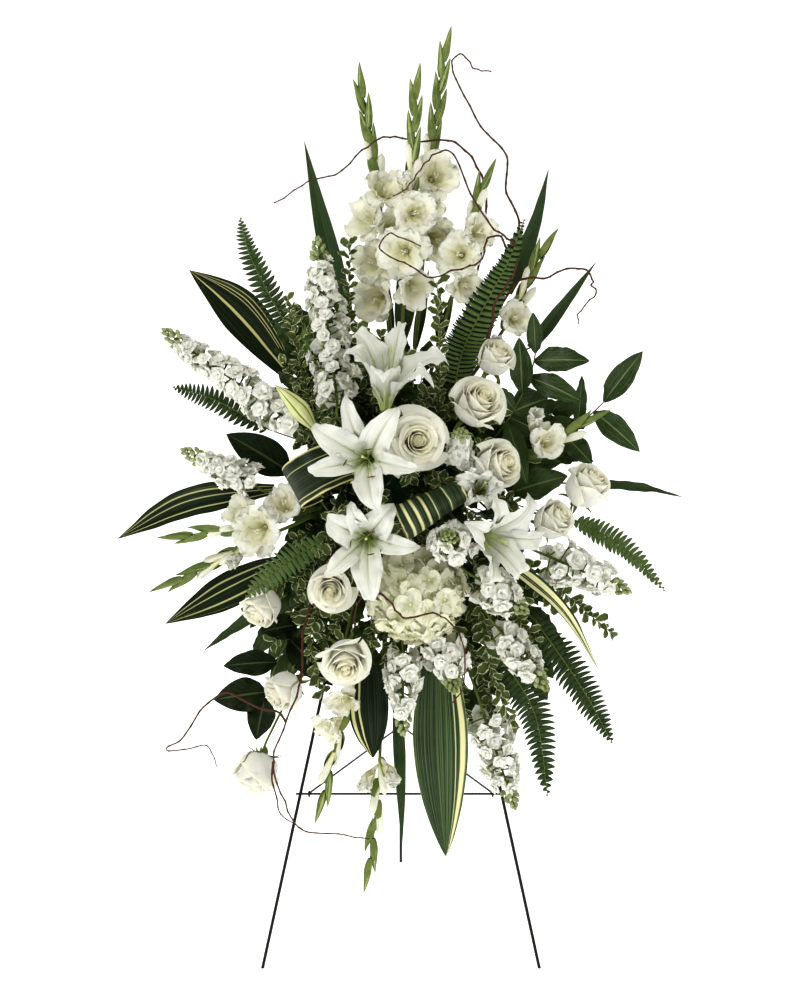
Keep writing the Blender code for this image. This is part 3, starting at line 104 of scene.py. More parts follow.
ROSES = {
    "rose_centre_high": [Bloom(416, 441, -0.165, 10, 8, 0.098)],
    "rose_pair_upper_right": [
        Bloom(477, 404, -0.115, 30, 35, 0.09), Bloom(497, 465, -0.125, 45, 15, 0.083),
    ],
    "rose_high_right": [Bloom(495, 358, -0.05, 35, 50, 0.066)],
    "rose_pair_right": [Bloom(587, 487, -0.03, 55, 48, 0.082), Bloom(553, 520, -0.08, 50, 30, 0.072)],
    "rose_left": [Bloom(263, 607, -0.08, -35, -40, 0.072)],
    "rose_pair_centre_left": [
        Bloom(331, 589, -0.14, -5, -5, 0.074), Bloom(346, 660, -0.13, 0, -25, 0.086),
    ],
    "rose_pair_low_left": [
        Bloom(284, 690, -0.07, -55, -30, 0.072), Bloom(257, 772, -0.03, -40, -60, 0.083),
    ],
}

# A lily's tips are given one by one, clockwise. Then come the buds: foot, tip and radius.
LILIES = {
    "lily_high": (
        [
            (
                Bloom(386, 395, -0.12, 5, 60, 0.19),
                [
                    (404, 326, -0.085), (449, 366, -0.13), (434, 389, -0.19), (383, 384, -0.215),
                    (343, 358, -0.165), (352, 338, -0.105),
                ],
            )
        ],
        [((308, 358, 0.01), (303, 323, 0.01), 0.011)],
    ),
    "lily_pair_left": (
        [
            (
                Bloom(367, 459, -0.175, -10, 5, 0.19),
                [
                    (346, 394, -0.205), (400, 407, -0.235), (421, 469, -0.24), (378, 510, -0.225),
                    (308, 471, -0.205), (314, 424, -0.215),
                ],
            ),
            (
                Bloom(367, 537, -0.165, -5, 0, 0.19),
                [
                    (351, 501, -0.215), (394, 503, -0.195), (421, 546, -0.205), (373, 601, -0.2),
                    (325, 575, -0.205), (327, 515, -0.2),
                ],
            ),
        ],
        [((315, 430, -0.13), (275, 385, -0.15), 0.0165)],
    ),
    "lily_pair_right": (
        [
            (
                Bloom(482, 535, -0.135, 35, -10, 0.19),
                [
                    (489, 491, -0.165), (527, 492, -0.14), (541, 532, -0.115), (516, 575, -0.155),
                    (482, 583, -0.18), (464, 521, -0.2),
                ],
            ),
            (
                Bloom(478, 492, -0.12, 10, 20, 0.12),
                [
                    (465, 473, -0.14), (492, 477, -0.145), (503, 490, -0.145), (488, 510, -0.15),
                    (464, 507, -0.15), (455, 480, -0.145),
                ],
            ),
        ],
        [],
    ),
}

# Gladioli: each stem from its tip down, and the open florets
GLADIOLI = {
    "gladiolus_top_left": (
        [[(357, 65, 0.11), (372, 150, 0.11), (380, 200, 0.11), (388, 300, 0.1)]],
        [
            Bloom(385, 190, 0.075, 15, 42, 0.074), Bloom(366, 220, 0.085, -45, 15, 0.08),
            Bloom(392, 228, 0.07, 25, 0, 0.07), Bloom(372, 262, 0.075, -25, 5, 0.075),
            Bloom(374, 300, 0.07, -20, -5, 0.08),
        ],
    ),
    "gladiolus_top_middle": (
        [[(417, 65, 0.02), (413, 150, 0.02), (408, 250, 0.02), (402, 330, 0.02)]],
        [
            Bloom(402, 184, -0.01, 20, 72, 0.055), Bloom(415, 213, -0.025, 15, 5, 0.072),
            Bloom(404, 252, -0.03, -10, 0, 0.085), Bloom(414, 288, -0.015, 20, -15, 0.07),
        ],
    ),
    "gladiolus_top_tall": (
        [[(448, 28, 0.1), (437, 110, 0.1), (430, 170, 0.1), (420, 300, 0.09)]],
        [
            Bloom(436, 176, 0.055, 10, 15, 0.082), Bloom(428, 208, 0.06, -10, 0, 0.065),
            Bloom(437, 240, 0.055, 15, -10, 0.075),
        ],
    ),
    "gladiolus_right_of_top": (
        [[(494, 160, 0.03), (478, 200, 0.03), (465, 250, 0.03), (440, 340, 0.03)]],
        [
            Bloom(479, 232, 0.0, 35, 10, 0.065), Bloom(458, 254, -0.01, 10, 0, 0.075),
            Bloom(464, 285, 0.0, 30, -15, 0.06),
        ],
    ),
    "gladiolus_upper_right": (
        [[(556, 230, 0.06), (535, 265, 0.06), (515, 310, 0.06), (490, 350, 0.06)]],
        [Bloom(515, 318, 0.025, 25, 20, 0.062), Bloom(498, 343, 0.025, -10, 5, 0.055)],
    ),
    "gladiolus_right": (
        [[(607, 408, 0.0), (575, 428, 0.0), (548, 445, 0.0), (520, 455, 0.0)]],
        [Bloom(547, 440, -0.035, 30, 10, 0.062), Bloom(533, 421, -0.04, 20, 40, 0.055)],
    ),
    "gladiolus_pair_left": (
        [
            [(160, 540, -0.01), (225, 530, -0.01), (258, 528, -0.01), (295, 515, -0.01)],
            [(153, 593, 0.03), (215, 562, 0.03), (250, 543, 0.02), (300, 522, 0.01)],
        ],
        [
            Bloom(258, 531, -0.055, -20, 0, 0.088), Bloom(240, 512, -0.035, -45, 35, 0.06),
            Bloom(284, 503, -0.045, -5, 30, 0.065), Bloom(238, 558, 0.0, -40, -20, 0.05),
        ],
    ),
    "gladiolus_pair_low": (
        [
            [(367, 890, -0.05), (375, 820, -0.05), (379, 780, -0.05), (382, 690, 0.0)],
            [(318, 822, -0.05), (330, 770, -0.05), (338, 740, -0.05), (358, 680, -0.04)],
        ],
        [
            Bloom(366, 778, -0.075, -30, -65, 0.055), Bloom(391, 772, -0.08, 35, -60, 0.055),
            Bloom(327, 726, -0.08, -35, -40, 0.06), Bloom(342, 700, -0.08, 10, -40, 0.06),
        ],
    ),
}

# Stock: each head's tip and base, and its width
STOCKS = {
    "stock_pair_left": [
        ((163, 330, -0.02), (294, 424, -0.05), 0.068), ((182, 450, -0.03), (252, 482, -0.03), 0.058),
    ],
    "stock_top_left": [((317, 238, 0.01), (337, 400, -0.075), 0.074)],
    "stock_pair_centre": [
        ((447, 536, -0.235), (453, 545, -0.16), 0.07), ((461, 430, -0.14), (459, 462, -0.12), 0.042),
    ],
    "stock_pair_right_low": [
        ((527, 612, -0.15), (480, 580, -0.14), 0.072), ((548, 690, -0.1), (500, 630, -0.09), 0.064),
    ],
    "stock_pair_low": [
        ((455, 692, -0.12), (441, 640, -0.09), 0.072), ((403, 735, -0.11), (403, 652, -0.09), 0.062),
    ],
    "stock_hanging": [((515, 808, -0.05), (484, 715, -0.05), 0.076)],
    "stock_right": [((630, 592, -0.05), (548, 556, -0.06), 0.08)],
}

HYDRANGEA = Bloom(416, 595, -0.1, 5, -15, 0.155)

# Sword ferns: each frond from its tip down, with its pairs of leaflets and the way it looks
FERNS = {
    "fern_top_left": [Frond(
        [(240, 217, 0.08), (250, 255, 0.08), (275, 305, 0.07), (302, 352, 0.06)], 0.026, 29, -20, 10,
    )],
    "fern_left": [Frond([(172, 387, 0.06), (215, 400, 0.06), (270, 430, 0.04)], 0.024, 21, -15, 20)],
    "fern_upper_right": [Frond(
        [
            (524, 220, 0.0), (509, 260, 0.0), (493, 290, 0.0), (473, 328, -0.005), (461, 356, -0.005),
            (455, 386, -0.005),
        ],
        0.038, 34, 15, 15,
    )],
    "fern_right": [Frond([(666, 592, 0.02), (625, 548, 0.03), (575, 520, 0.03)], 0.028, 23, 20, 30)],
    "fern_pair_low_right": [
        Frond([(613, 744, 0.0), (580, 685, 0.0), (535, 620, 0.0)], 0.034, 27, 20, 5),
        Frond([(548, 798, -0.02), (535, 715, -0.03), (500, 655, -0.03)], 0.034, 27, 10, 0),
    ],
    "fern_left_low": [Frond(
        [(245, 598, -0.13), (280, 568, -0.12), (322, 540, -0.09)], 0.03, 18, -15, 20,
    )],
}

# Striped strap leaves, each from its tip down
STRIPED_LEAVES = {
    "striped_leaf_top_left": [Leaf(
        [(189, 270, 0.11), (240, 312, 0.11), (292, 376, 0.08)], 0.074, -10, 20, 0.25,
    )],
    "striped_leaf_left": [Leaf(
        [(117, 539, 0.05), (190, 505, 0.06), (275, 490, 0.05)], 0.06, -5, 35, 0.25,
    )],
    "striped_leaf_low_left": [Leaf(
        [(165, 624, 0.06), (230, 592, 0.06), (292, 560, 0.05)], 0.066, -5, 25, 0.25,
    )],
    "striped_leaf_pair_low": [
        Leaf([(446, 857, -0.03), (441, 760, -0.06), (438, 665, -0.05)], 0.092, 8, 5, 0.12),
        Leaf([(373, 758, -0.04), (369, 715, -0.055), (368, 665, -0.05)], 0.068, -8, 0, 0.12),
    ],
    "striped_leaf_right": [Leaf(
        [(600, 672, -0.1), (563, 610, -0.13), (508, 562, -0.12)], 0.026, 20, 20, 0.3,
    )],
}

# Flax blades, which are long and narrow
FLAX_BLADES = {
    "flax_top": [
        Leaf([(304, 140, 0.13), (322, 220, 0.13), (346, 315, 0.12)], 0.038, -10, 0, 0.3),
        Leaf([(549, 168, 0.12), (532, 230, 0.12), (505, 292, 0.11)], 0.033, 10, 0, 0.3),
        Leaf([(597, 261, 0.13), (567, 300, 0.13), (530, 348, 0.12)], 0.023, 20, 10, 0.3),
    ],
    "flax_right": [Leaf([(683, 497, 0.07), (645, 489, 0.07), (600, 485, 0.06)], 0.021, 10, 40, 0.3)],
    "flax_pair_low": [
        Leaf([(203, 651, 0.05), (230, 632, 0.05), (262, 610, 0.04)], 0.022, -10, 30, 0.3),
        Leaf([(402, 850, -0.02), (401, 790, -0.03), (397, 700, -0.03)], 0.021, 5, 0, 0.3),
    ],
}

# Two broad striped leaves are rolled: the ends of the axis, the radius, the turn in degrees, and the
# share by which the roll narrows each way from its middle
ROLLED_LEAVES = {
    "striped_leaf_loop_left": ((310, 455, -0.135), (330, 495, -0.155), 0.046, -60, 230, 0.0),
    "striped_leaf_roll_right": ((398, 524, -0.185), (462, 490, -0.16), 0.023, -70, 265, 0.22),
}

# Salal: its stems from the foam out, and each leaf's base, tip and width
SALAL = {
    "salal_right": (
        [
            [(508, 420, 0.01), (530, 375, 0.01), (537, 345, 0.01)],
            [(550, 448, 0.04), (590, 415, 0.04), (606, 400, 0.04)], [(495, 500, 0.01), (513, 492, 0.01)],
        ],
        [
            ((513, 492, 0.01), (568, 476, -0.01), 0.056), ((539, 354, 0.008), (533, 312, 0.0), 0.028),
            ((520, 392, 0.008), (519, 337, -0.02), 0.04), ((538, 362, 0.008), (590, 361, -0.01), 0.046),
            ((531, 378, 0.008), (583, 402, -0.02), 0.042), ((514, 412, 0.008), (548, 398, 0.03), 0.06),
            ((575, 425, 0.038), (582, 375, 0.03), 0.024), ((604, 402, 0.038), (643, 351, 0.02), 0.042),
            ((594, 412, 0.038), (640, 452, 0.02), 0.044), ((566, 437, 0.038), (592, 464, 0.02), 0.04),
            ((508, 424, 0.008), (527, 484, -0.03), 0.038), ((510, 418, 0.008), (546, 436, 0.03), 0.036),
            ((556, 444, 0.038), (594, 462, 0.03), 0.026), ((512, 408, 0.008), (496, 386, 0.0), 0.026),
        ],
    ),
    "salal_low_left": (
        [
            [(305, 610, 0.01), (280, 655, 0.01), (264, 700, 0.01)],
            [(326, 508, 0.0), (312, 490, 0.03), (290, 472, 0.045)],
        ],
        [
            ((291, 473, 0.044), (226, 434, 0.02), 0.064), ((276, 662, 0.008), (223, 666, -0.01), 0.046),
            ((266, 692, 0.008), (214, 700, -0.01), 0.06), ((265, 698, 0.008), (256, 740, -0.01), 0.05),
            ((292, 642, 0.0), (333, 686, -0.06), 0.056), ((298, 625, 0.008), (262, 632, -0.02), 0.046),
        ],
    ),
}

# Curly willow: each twig from its tip down to the foam
WILLOW = {
    "willow_top_right": [
        [
            (492, 72, 0.05), (475, 68, 0.05), (462, 54, 0.05), (452, 66, 0.05), (463, 92, 0.05),
            (482, 128, 0.05), (507, 156, 0.06), (506, 190, 0.07), (519, 226, 0.08), (505, 290, 0.08),
        ]
    ],
    "willow_across_top": [
        [
            (275, 203, 0.03), (310, 181, 0.04), (337, 174, 0.05), (364, 150, 0.05), (386, 137, 0.05),
            (412, 141, 0.05), (452, 141, 0.06), (480, 172, 0.06), (486, 215, 0.07), (470, 300, 0.07),
        ]
    ],
    "willow_right": [
        [
            (578, 325, 0.0), (578, 315, 0.0), (583, 306, 0.0), (592, 298, 0.0), (596, 291, 0.0),
            (590, 286, 0.0), (593, 280, 0.0), (590, 274, 0.0), (577, 268, 0.0), (557, 273, 0.01),
            (545, 278, 0.01), (528, 278, 0.02), (514, 286, 0.03), (494, 320, 0.03), (484, 350, 0.03),
        ]
    ],
    "willow_low_left": [
        [
            (370, 838, -0.06), (340, 835, -0.06), (302, 829, -0.06), (284, 800, -0.06), (273, 762, -0.07),
            (286, 722, -0.1), (301, 682, -0.1), (302, 640, -0.09), (312, 600, -0.07), (322, 566, -0.04),
        ]
    ],
}

# More willow, from the foam out, with its thickness at the foam
MORE_WILLOW = [
    (
        [
            (497, 388, 0.02), (491, 362, 0.0), (486, 343, -0.035), (492, 325, -0.05), (495, 305, -0.055),
            (503, 290, -0.055), (511, 279, -0.05), (517, 259, -0.045),
        ],
        0.0028,
    ),
    (
        [
            (468, 330, 0.05), (490, 290, 0.05), (506, 262, 0.05), (513, 246, 0.0), (506, 237, -0.03),
            (491, 226, -0.05), (468, 188, -0.06), (451, 153, -0.06), (432, 157, -0.06), (419, 170, -0.06),
            (410, 185, -0.065), (394, 196, -0.065),
        ],
        0.0020,
    ),
    (
        [
            (478, 325, 0.05), (500, 292, 0.05), (509, 262, 0.04), (504, 241, 0.0), (498, 235, -0.05),
            (487, 240, -0.065), (484, 253, -0.07), (474, 265, -0.075), (452, 270, -0.075),
            (430, 277, -0.075), (412, 267, -0.075), (395, 260, -0.08), (379, 248, -0.08),
            (388, 234, -0.08), (402, 237, -0.08), (422, 247, -0.08),
        ],
        0.0019,
    ),
    (
        [
            (349, 552, -0.12), (352, 573, -0.17), (365, 589, -0.19), (382, 595, -0.205),
            (394, 607, -0.205), (405, 618, -0.19), (427, 614, -0.19), (441, 615, -0.18),
            (453, 626, -0.17), (463, 643, -0.17), (463, 685, -0.13), (452, 702, -0.12),
        ],
        0.0019,
    ),
    ([(355, 560, -0.13), (361, 590, -0.15), (356, 611, -0.15), (354, 628, -0.14)], 0.0018),
]

# Side twigs of the low left willow, from the twig out
WILLOW_SIDE_TWIGS = [
    (
        [
            (286, 722, -0.1), (278, 712, -0.105), (262, 709, -0.105), (245, 701, -0.1), (228, 693, -0.1),
            (214, 698, -0.1), (203, 708, -0.1), (190, 728, -0.1), (180, 741, -0.1), (166, 749, -0.1),
            (185, 750, -0.1), (205, 746, -0.1), (212, 754, -0.1), (216, 767, -0.1),
        ],
        0.0017,
    ),
    (
        [
            (273, 762, -0.07), (272, 780, -0.06), (277, 800, -0.055), (280, 812, -0.055),
            (290, 821, -0.06), (302, 829, -0.06),
        ],
        0.0014,
    ),
]

# Pittosporum: sprigs of small leaves with pale margins, from the foam out
PITTOSPORUM = {
    "pittosporum_left": [
        [(318, 420, 0.0), (300, 360, -0.01), (288, 300, 0.0)],
        [(347, 390, 0.075), (349, 320, 0.03), (349, 245, 0.03)],
        [(325, 590, -0.02), (310, 640, -0.05), (322, 690, -0.06)],
    ],
    "pittosporum_right": [
        [(440, 420, -0.02), (440, 340, -0.06), (437, 285, -0.04)],
        [(480, 600, -0.02), (488, 660, -0.05), (512, 725, -0.05)],
        [(560, 590, 0.0), (590, 615, -0.02), (610, 632, -0.02)],
    ],
}

NUDGES = {"salal_right": -0.02, "salal_low_left": 0.02, "flax_pair_low": -0.03}
GOLDEN_ANGLE = math.radians(137.5)

# Points and ways


def unit(way):
    return way / np.maximum(np.linalg.norm(way, axis=-1, keepdims=True), 1e-12)


def at(spot):
    """The point that the eye sees at a spot's column and row, at the spot's depth."""
    column, row, depth = spot[:3]
    ray = FORWARD + UPWARD * ((MIDDLE_ROW - row) / FOCAL_PIXELS)
    ray[0] = (column - AXIS_COLUMN) / FOCAL_PIXELS
    return EYE + ray * ((depth + EYE_DISTANCE) / ray[1])


def seen(point):
    """The spot where the eye sees a point."""
    ray = point - EYE
    ahead = ray @ FORWARD
    column = AXIS_COLUMN + FOCAL_PIXELS * ray[0] / ahead
    return Spot(column, MIDDLE_ROW - FOCAL_PIXELS * (ray @ UPWARD) / ahead, ray[1] - EYE_DISTANCE)


def facing(azimuth, elevation):
    """The way a flower looks: azimuth in degrees to the viewer's right, elevation above level."""
    a, e = math.radians(azimuth), math.radians(elevation)
    return np.array([math.sin(a) * math.cos(e), -math.cos(a) * math.cos(e), math.sin(e)])


TO_EYE = facing(0, 0)
LEAF_LOOK = facing(0, 20)


def frame_along(axis):
    """A rotation whose Z is axis and whose Y is as near to up as it can be."""
    z = unit(np.asarray(axis, float))
    guide = UP if abs(z[2]) < 0.95 else np.array([0, 1.0, 0])
    x = unit(np.cross(guide, z))
    return np.stack([x, np.cross(z, x), z], axis=1)


def turned(angle):
    """A rotation round Z."""
    c, s = math.cos(angle), math.sin(angle)
    return np.array([[c, -s, 0], [s, c, 0], [0, 0, 1.0]])


def smooth_path(points, count):
    """count points at even steps of a Catmull-Rom curve through the given points."""
    ends = [2 * points[0] - points[1], *points, 2 * points[-1] - points[-2]]
    path = []
    for i in range(count):
        t = i / (count - 1) * (len(points) - 1)
        k = min(int(t), len(points) - 2)
        s = t - k
        a, b, c, d = ends[k : k + 4]
        cubic = (3 * b - a - 3 * c + d) * s**3
        path.append((2 * b + (c - a) * s + (2 * a - 5 * b + 4 * c - d) * s**2 + cubic) / 2)
    return np.array(path)


def bezier(start, start_pull, end_pull, end, shares):
    """The points at the given shares of a Bezier curve."""
    t = np.asarray(shares)[:, None]
    s = 1 - t
    return start * s**3 + start_pull * (3 * s * s * t) + end_pull * (3 * s * t * t) + end * t**3


def nearest_on(path, point):
    """The nearest point to a point on a poly line."""
    starts, runs = path[:-1], path[1:] - path[:-1]
    shares = np.sum((point - starts) * runs, axis=1) / np.sum(runs * runs, axis=1)
    spots = starts + runs * np.clip(shares, 0, 1)[:, None]
    return spots[np.argmin(np.linalg.norm(spots - point, axis=1))]


# Meshes. A part's faces have four corners, and one that repeats is dropped when it is built. Its
# looks are what the materials read: how far along and across it a point is, and a random share.
Part = namedtuple("Part", "points faces looks paints")
UNDER = 3
SHARP_FROM = math.radians(75)


def grid_faces(rows, columns):
    """Corner numbers of the faces of a grid."""
    first = (np.arange(rows - 1)[:, None] * columns + np.arange(columns - 1)[None, :]).ravel()
    return np.stack([first, first + columns, first + columns + 1, first + 1], axis=1)


def sheet(points, thickness, chance=0.0, paint=0):
    """A thin closed leaf or petal over a grid of points. Its two sides meet at the grid's edge."""
    rows, columns = points.shape[:2]
    normal = unit(np.cross(np.gradient(points, axis=1), np.gradient(points, axis=0)))
    inner = np.zeros((rows, columns), bool)
    inner[1:-1, 1:-1] = True
    lift = normal * (inner[..., None] * thickness / 2)
    upper = np.arange(rows * columns).reshape(rows, columns)
    drawn = np.linalg.norm(points - points[:, :1], axis=2).max(axis=1) < 1e-7
    upper[drawn] = upper[drawn][:, :1]
    lower = upper.copy()
    lower[inner] = rows * columns + np.arange(inner.sum())
    looks = np.zeros((rows, columns, 4))
    looks[..., 0] = np.linspace(0, 1, rows)[:, None]
    looks[..., 1] = np.linspace(-1, 1, columns)[None, :]
    looks[..., 2] = chance
    under = looks[inner]
    under[:, UNDER] = 1
    quads = grid_faces(rows, columns)
    faces = np.concatenate([upper.ravel()[quads[:, ::-1]], lower.ravel()[quads]])
    return Part(
        np.concatenate([(points + lift).reshape(-1, 3), (points - lift)[inner]]), faces,
        np.concatenate([looks.reshape(-1, 4), under]), np.full(len(faces), paint),
    )


def tube(path, radii, sides=8, chance=0.0, paint=0, ribs=0, depth=0.0):
    """A closed stem along a path with a radius at each point, and ribs of that depth on it."""
    path = np.asarray(path, float)
    radii = np.broadcast_to(np.asarray(radii, float), len(path))
    ahead = unit(np.gradient(path, axis=0))
    across = np.zeros_like(path)
    across[0] = frame_along(ahead[0])[:, 0]
    for k in range(1, len(path)):
        across[k] = unit(across[k - 1] - ahead[k] * (across[k - 1] @ ahead[k]))
    other = np.cross(ahead, across)
    angles = np.linspace(0, 2 * math.pi, sides + 1)
    swell = 1 + depth * np.cos(ribs * angles)
    ring = across[:, None] * np.cos(angles)[:, None] + other[:, None] * np.sin(angles)[:, None]
    points = path[:, None] + ring * (radii[:, None, None] * swell[None, :, None])
    rows = np.concatenate([np.repeat(path[:1, None], sides + 1, axis=1), points])
    rows = np.concatenate([rows, np.repeat(path[-1:, None], sides + 1, axis=1)])
    count = len(rows)
    index = np.arange(count * (sides + 1)).reshape(count, sides + 1)
    index[:, -1] = index[:, 0]
    index[0] = index[0, 0]
    index[-1] = index[-1, 0]
    looks = np.zeros((count, sides + 1, 4))
    looks[..., 0] = np.concatenate([[0], np.linspace(0, 1, len(path)), [1]])[:, None]
    looks[..., 1] = np.sin(angles)[None, :]
    looks[..., 2] = chance
    faces = index.ravel()[grid_faces(count, sides + 1)][:, ::-1]
    return Part(rows.reshape(-1, 3), faces, looks.reshape(-1, 4), np.full(len(faces), paint))


def joined(parts):
    sizes = np.cumsum([0, *(len(part.points) for part in parts)])
    return Part(
        np.concatenate([part.points for part in parts]),
        np.concatenate([part.faces + size for part, size in zip(parts, sizes)]),
        np.concatenate([part.looks for part in parts]), np.concatenate([part.paints for part in parts]),
    )


def moved(part, place, turn, size=1.0, chance=None):
    """A copy of a part, scaled, turned and then placed."""
    looks = part.looks
    if chance is not None:
        looks = looks.copy()
        looks[:, 2] = chance
    return part._replace(points=part.points @ (turn * size).T + place, looks=looks)


def painted(parts, paint):
    """The parts with one of their object's materials, by its number."""
    return [part._replace(paints=np.full(len(part.faces), paint)) for part in parts]


def build(name, parts, materials, nodes=()):
    """One object of the parts, which rides with the front frame and stands for the nodes."""
    whole = joined(parts)
    same = whole.faces == np.roll(whole.faces, -1, axis=1)
    corners = 4 - same.sum(axis=1)
    real = corners > 2
    loops = whole.faces[real][~same[real]]
    used, loops = np.unique(loops, return_inverse=True)
    mesh = bpy.data.meshes.new(name)
    mesh.vertices.add(len(used))
    mesh.vertices.foreach_set("co", whole.points[used].ravel())
    mesh.loops.add(len(loops))
    mesh.loops.foreach_set("vertex_index", loops.ravel().astype(np.int32))
    starts = np.concatenate([[0], np.cumsum(corners[real])[:-1]])
    mesh.polygons.add(len(starts))
    mesh.polygons.foreach_set("loop_start", starts.astype(np.int32))
    mesh.polygons.foreach_set("material_index", whole.paints[real].astype(np.int32))
    mesh.update(calc_edges=True)
    look = mesh.attributes.new("look", "FLOAT_VECTOR", "POINT")
    look.data.foreach_set("vector", whole.looks[used, :UNDER].ravel())
    under = mesh.attributes.new("under", "FLOAT", "POINT")
    under.data.foreach_set("value", whole.looks[used, UNDER])
    mesh.shade_smooth()
    mesh.set_sharp_from_angle(angle=SHARP_FROM)
    for material in materials:
        mesh.materials.append(material)
    made = bpy.data.objects.new(name, mesh)
    bpy.context.scene.collection.objects.link(made)
    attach(made, "front_frame")
    if nodes:
        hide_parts(*nodes)


# Leaves and petals along a spine


def outline(shares, foot, fullest, end=2.0, blunt=0.5):
    """Half widths as shares of the widest: foot at the start, then full, then drawn in."""
    low = foot + (1 - foot) * np.sin(np.clip(shares / fullest, 0, 1) * math.pi / 2)
    high = np.clip((shares - fullest) / (1 - fullest), 0, 1)
    return low * (1 - high**end) ** blunt


def blade(
    spine, halves, face=None, across=None, columns=7, cup=0.0, fold=0.0, groove=0.0, wave=0.0, waves=3.0,
    frill=0.0, twist=0.0, phase=0.0, thickness=0.0006, chance=0.0, paint=0,
):
    """A leaf or petal along its spine. Its upper side looks along face, or its width runs along
    across. cup and fold lift its edges by shares of its half width, in a curve or a V, and groove
    is the depth of the furrow along its middle. wave is how far its edges ripple and frill how far
    its tip does, in metres."""
    ahead = unit(np.gradient(spine, axis=0))
    side = unit(np.cross(ahead, face)) if across is None else np.broadcast_to(across, spine.shape)
    lift = unit(np.cross(side, ahead))
    side = np.cross(ahead, lift)
    u = np.linspace(0, 1, len(spine))[:, None]
    w = np.linspace(-1, 1, columns)[None, :]
    turn = twist * u
    half = np.asarray(halves)[:, None]
    furrow = np.exp(-((abs(w) - 0.32) ** 2) / 0.02) - 1.2 * np.exp(-(w**2) / 0.012)
    high = half * (cup * w * w + fold * abs(w) + groove * furrow * (1 - u**3))
    sway = phase + 1.9 * np.sign(w)
    ripple = np.sin(2 * math.pi * waves * u + sway) + 0.5 * np.sin(4.6 * math.pi * waves * u - sway)
    full = np.minimum(1, 1.5 * half / max(half.max(), 1e-9))
    high = high + wave * ripple * w * w * full + frill * np.sin(7 * w + phase) * u**4
    sideways = np.cos(turn) * (half * w) - np.sin(turn) * high
    upward = np.sin(turn) * (half * w) + np.cos(turn) * high
    points = spine[:, None] + side[:, None] * sideways[..., None] + lift[:, None] * upward[..., None]
    return sheet(points, thickness, chance, paint)


def own_blade(draw, twist, spine, halves, **shape):
    """A blade with a ripple and a share of its own, and a twist, which may come from a range."""
    turn = draw.uniform(*twist) if isinstance(twist, tuple) else twist
    phase = draw.uniform(0, 6)
    return blade(spine, halves, twist=turn, phase=phase, chance=draw.random(), **shape)


def eased(rows):
    """Shares that lie closer together towards the tip."""
    return np.sin(np.linspace(0, math.pi / 2, rows))


# Stems


def foam_mouth(name, toward):
    """Where a node's stem leaves the foam on its way to a point, and that way."""
    hub_out = NUDGES.get(name, 0) - HUB_SHARE * ((toward - FOAM_MIDDLE) @ OUT)
    hub = FOAM_MIDDLE + OUT * hub_out
    way = unit(toward - hub)
    shares = np.array([way @ RIGHT, way @ ALONG, way @ OUT])
    offsets = np.array([0, 0, hub_out]) * np.sign(shares)
    reach = np.min((FOAM_SIZE / 2 - offsets) / np.maximum(abs(shares), 1e-9))
    return hub + way * reach, way


def branches(name, bases, radius, looks=None):
    """Round stems from one root in the foam to each base. looks are the ways that blooms look."""
    mouth, way = foam_mouth(name, np.mean(bases, axis=0))
    root = mouth - way * STEM_SUNK
    fork = mouth + way * FORK_OUT
    parts = [tube([root, mouth, fork], radius, chance=0.5)]
    for k, base in enumerate(bases):
        bend = [base]
        if looks is not None:
            pull = min(0.035, 0.35 * np.linalg.norm(base - fork))
            bend = [base - looks[k] * pull, base]
        path = smooth_path([fork - way * 0.004, fork + way * 0.004, *bend], 12)
        parts.append(tube(path, radius * FORK_SHARE, chance=0.5))
    return parts


def leading_stems(name, paths):
    """The points that the stem of a node's paths runs through, in the foam and just out of it."""
    mouth, way = foam_mouth(name, np.mean([path[0] for path in paths], axis=0))
    return [mouth - way * STEM_SUNK, mouth, mouth + way * FORK_OUT]


# Materials


